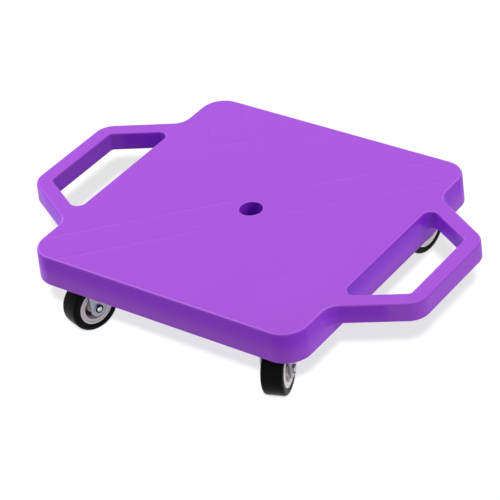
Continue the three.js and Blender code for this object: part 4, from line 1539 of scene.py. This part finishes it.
on_each_caster(
    "wheel",
    (hub_model, "moulded_hub", "grey_plastic", "wheel_hub"),
    (seal_model, "dust_seals", "grey_plastic"),
    (tyre_model, "rubber_tyre", "black_rubber", "tyre"),
)

# %% [markdown]
# ## Floor and world
#
# A catalogue photo has a white sweep and soft light. The floor is white where the camera looks at
# it, directly or in a reflection, which Light Path tells apart. Part of that white is a glow and
# the rest is lit paint, so the shadow stays. To other rays the floor is plain pale paint, which
# throws light up onto the walls as a real sweep does. The world is white in the same way, and
# gives the object only a little light of its own.


# %% Floor
def seen_directly(tree):
    """1 for what the camera sees, also in a mirror or through glass, and 0 for other rays."""
    light_path = add_node(tree, "ShaderNodeLightPath").outputs
    seen = light_path["Is Camera Ray"]
    for ray in ("Is Glossy Ray", "Is Transmission Ray"):
        links = {0: seen, 1: light_path[ray]}
        seen = add_node(tree, "ShaderNodeMath", {"operation": "MAXIMUM"}, links).outputs[0]
    return seen


WHITE = "ffffff"
LIT_GREY = "8b8b8b"
PALE_PAINT = "dcdce0"
FLOOR_HALF = 6.0
FLOOR_GLOW = 0.735
floor_material, tree = new_material("matt_white_sweep")
glow = add_node(tree, "ShaderNodeEmission", {"Color": colour(WHITE), "Strength": FLOOR_GLOW})
lit_part = add_node(tree, "ShaderNodeBsdfDiffuse", {"Color": colour(LIT_GREY)})
lit = add_node(tree, "ShaderNodeAddShader", links={0: lit_part.outputs[0], 1: glow.outputs[0]})
paint = add_node(tree, "ShaderNodeBsdfDiffuse", {"Color": colour(PALE_PAINT)})
mixed = add_node(
    tree,
    "ShaderNodeMixShader",
    links={"Fac": seen_directly(tree), 1: paint.outputs[0], 2: lit.outputs[0]},
)
add_node(tree, "ShaderNodeOutputMaterial", links={"Surface": mixed.outputs[0]})

floor_corners = [(FLOOR_HALF * x, FLOOR_HALF * y, 0) for x, y in ((-1, -1), (1, -1), (1, 1), (-1, 1))]
floor_mesh = bpy.data.meshes.new("floor")
floor_mesh.from_pydata(floor_corners, [], [(0, 1, 2, 3)])
floor = new_piece("floor", floor_mesh, floor_material)
print("The floor is", 2 * FLOOR_HALF, "m square")

# %% World
WORLD_LIGHT = 0.12
world = bpy.data.worlds.new("white_studio")
bpy.context.scene.world = world
world.use_nodes = True
tree = world.node_tree
tree.nodes.clear()
strength = add_node(
    tree,
    "ShaderNodeMapRange",
    {"To Min": WORLD_LIGHT, "To Max": 1.0},
    {"Value": seen_directly(tree)},
)
sky = add_node(
    tree,
    "ShaderNodeBackground",
    {"Color": colour(WHITE)},
    {"Strength": strength.outputs["Result"]},
)
add_node(tree, "ShaderNodeOutputWorld", links={"Surface": sky.outputs[0]})
print("Made", world.name)

# %% [markdown]
# ## Lamps
#
# The softboxes light the object and the floor gets its one clean shadow from a lamp of its own,
# as in a catalogue picture where the sweep is lit apart. Light linking does that: a lamp with a
# receiver collection lights only what the collection includes, or leaves out what it excludes.
# The overhead softbox lights the top from a little behind, so that the walls that face the camera
# stay darker. The edge softbox leans to the left and draws a thin light line along the rounded
# edges. Two weaker ones fill the right and the left walls. These two stay out of reflections,
# because their image would blot out the top when it is seen from the side.

# %% Lamps
SOFTBOX_DISTANCE = 2.0
# A faint green, matched to the photo's light
FAINT_GREEN = "f6ffee"


def link_light(lamp, name, state):
    """Lights only the floor, or everything but the floor."""
    receivers = bpy.data.collections.new(name)
    receivers.objects.link(floor)
    receivers.collection_objects[0].light_linking.link_state = state
    lamp.light_linking.receiver_collection = receivers


def add_softbox(name, direction, size, level, tint=WHITE, mirrored_in_gloss=True):
    """Area lamp that gives a white surface facing it the brightness of its level."""
    data = bpy.data.lights.new(name, "AREA")
    data.color = colour(tint)[:3]
    data.shape = "SQUARE"
    data.size = size
    data.energy = level * math.pi**2 * SOFTBOX_DISTANCE**2
    lamp = bpy.data.objects.new(name, data)
    away = Vector(direction).normalized()
    lamp.location = away * SOFTBOX_DISTANCE
    lamp.rotation_euler = away.to_track_quat("Z", "Y").to_euler()
    lamp.visible_glossy = mirrored_in_gloss
    bpy.context.scene.collection.objects.link(lamp)
    link_light(lamp, f"{name}_receivers", "EXCLUDE")


def add_sweep_lamp(name, direction, angle, strength):
    """Distant lamp for the floor alone."""
    data = bpy.data.lights.new(name, "SUN")
    data.angle = math.radians(angle)
    data.energy = strength
    lamp = bpy.data.objects.new(name, data)
    lamp.rotation_euler = Vector(direction).to_track_quat("Z", "Y").to_euler()
    bpy.context.scene.collection.objects.link(lamp)
    link_light(lamp, f"{name}_receivers", "INCLUDE")


add_softbox("overhead_softbox", (0.0, 0.28, 0.96), size=1.3, level=0.53, tint=FAINT_GREEN)
add_softbox("edge_softbox", (-0.5, -0.18, 0.84), size=1.0, level=0.46, tint=FAINT_GREEN)
add_softbox("right_softbox", (0.85, 0.15, 0.48), size=0.9, level=0.29, mirrored_in_gloss=False)
add_softbox("left_softbox", (-0.99, -0.05, 0.12), size=0.4, level=0.42, mirrored_in_gloss=False)
add_sweep_lamp("sweep_lamp", (0.58, -0.75, 1.0), angle=5, strength=4.5)

# %% [markdown]
# ## Camera
#
# The photo was taken with a long lens, from above the front right corner and turned a little
# about its own axis. The angles were solved from the straight edges of the deck, so they are
# written as angles and a distance from the point that the camera looks at.

# %% Camera
CAMERA_AZIMUTH = math.radians(38.695)
CAMERA_ELEVATION = math.radians(34.631)
CAMERA_ROLL = math.radians(-6.830)
CAMERA_DISTANCE = 2091.99 * MM
CAMERA_TARGET = Vector((37.73 * MM, -55.91 * MM, TOP_Z))
CAMERA_LENS = 167.87
CAMERA_SENSOR = 36.0
CAMERA_SIGHT = 50.0

flat = math.cos(CAMERA_ELEVATION)
backwards = Vector((
    math.sin(CAMERA_AZIMUTH) * flat,
    -math.cos(CAMERA_AZIMUTH) * flat,
    math.sin(CAMERA_ELEVATION),
))
level_right = Vector((math.cos(CAMERA_AZIMUTH), math.sin(CAMERA_AZIMUTH), 0))
level_up = backwards.cross(level_right)
right = level_right * math.cos(CAMERA_ROLL) + level_up * math.sin(CAMERA_ROLL)
up = level_up * math.cos(CAMERA_ROLL) - level_right * math.sin(CAMERA_ROLL)
axes = Matrix((right, up, backwards)).transposed().to_4x4()

camera_data = bpy.data.cameras.new("camera")
camera_data.lens = CAMERA_LENS
camera_data.sensor_width = CAMERA_SENSOR
camera_data.clip_end = CAMERA_SIGHT
camera = bpy.data.objects.new("camera", camera_data)
camera.matrix_world = Matrix.Translation(CAMERA_TARGET + backwards * CAMERA_DISTANCE) @ axes
bpy.context.scene.collection.objects.link(camera)
bpy.context.scene.camera = camera
bpy.context.scene.view_settings.view_transform = "Standard"
print("Camera at", tuple(round(value, 3) for value in camera.matrix_world.translation))
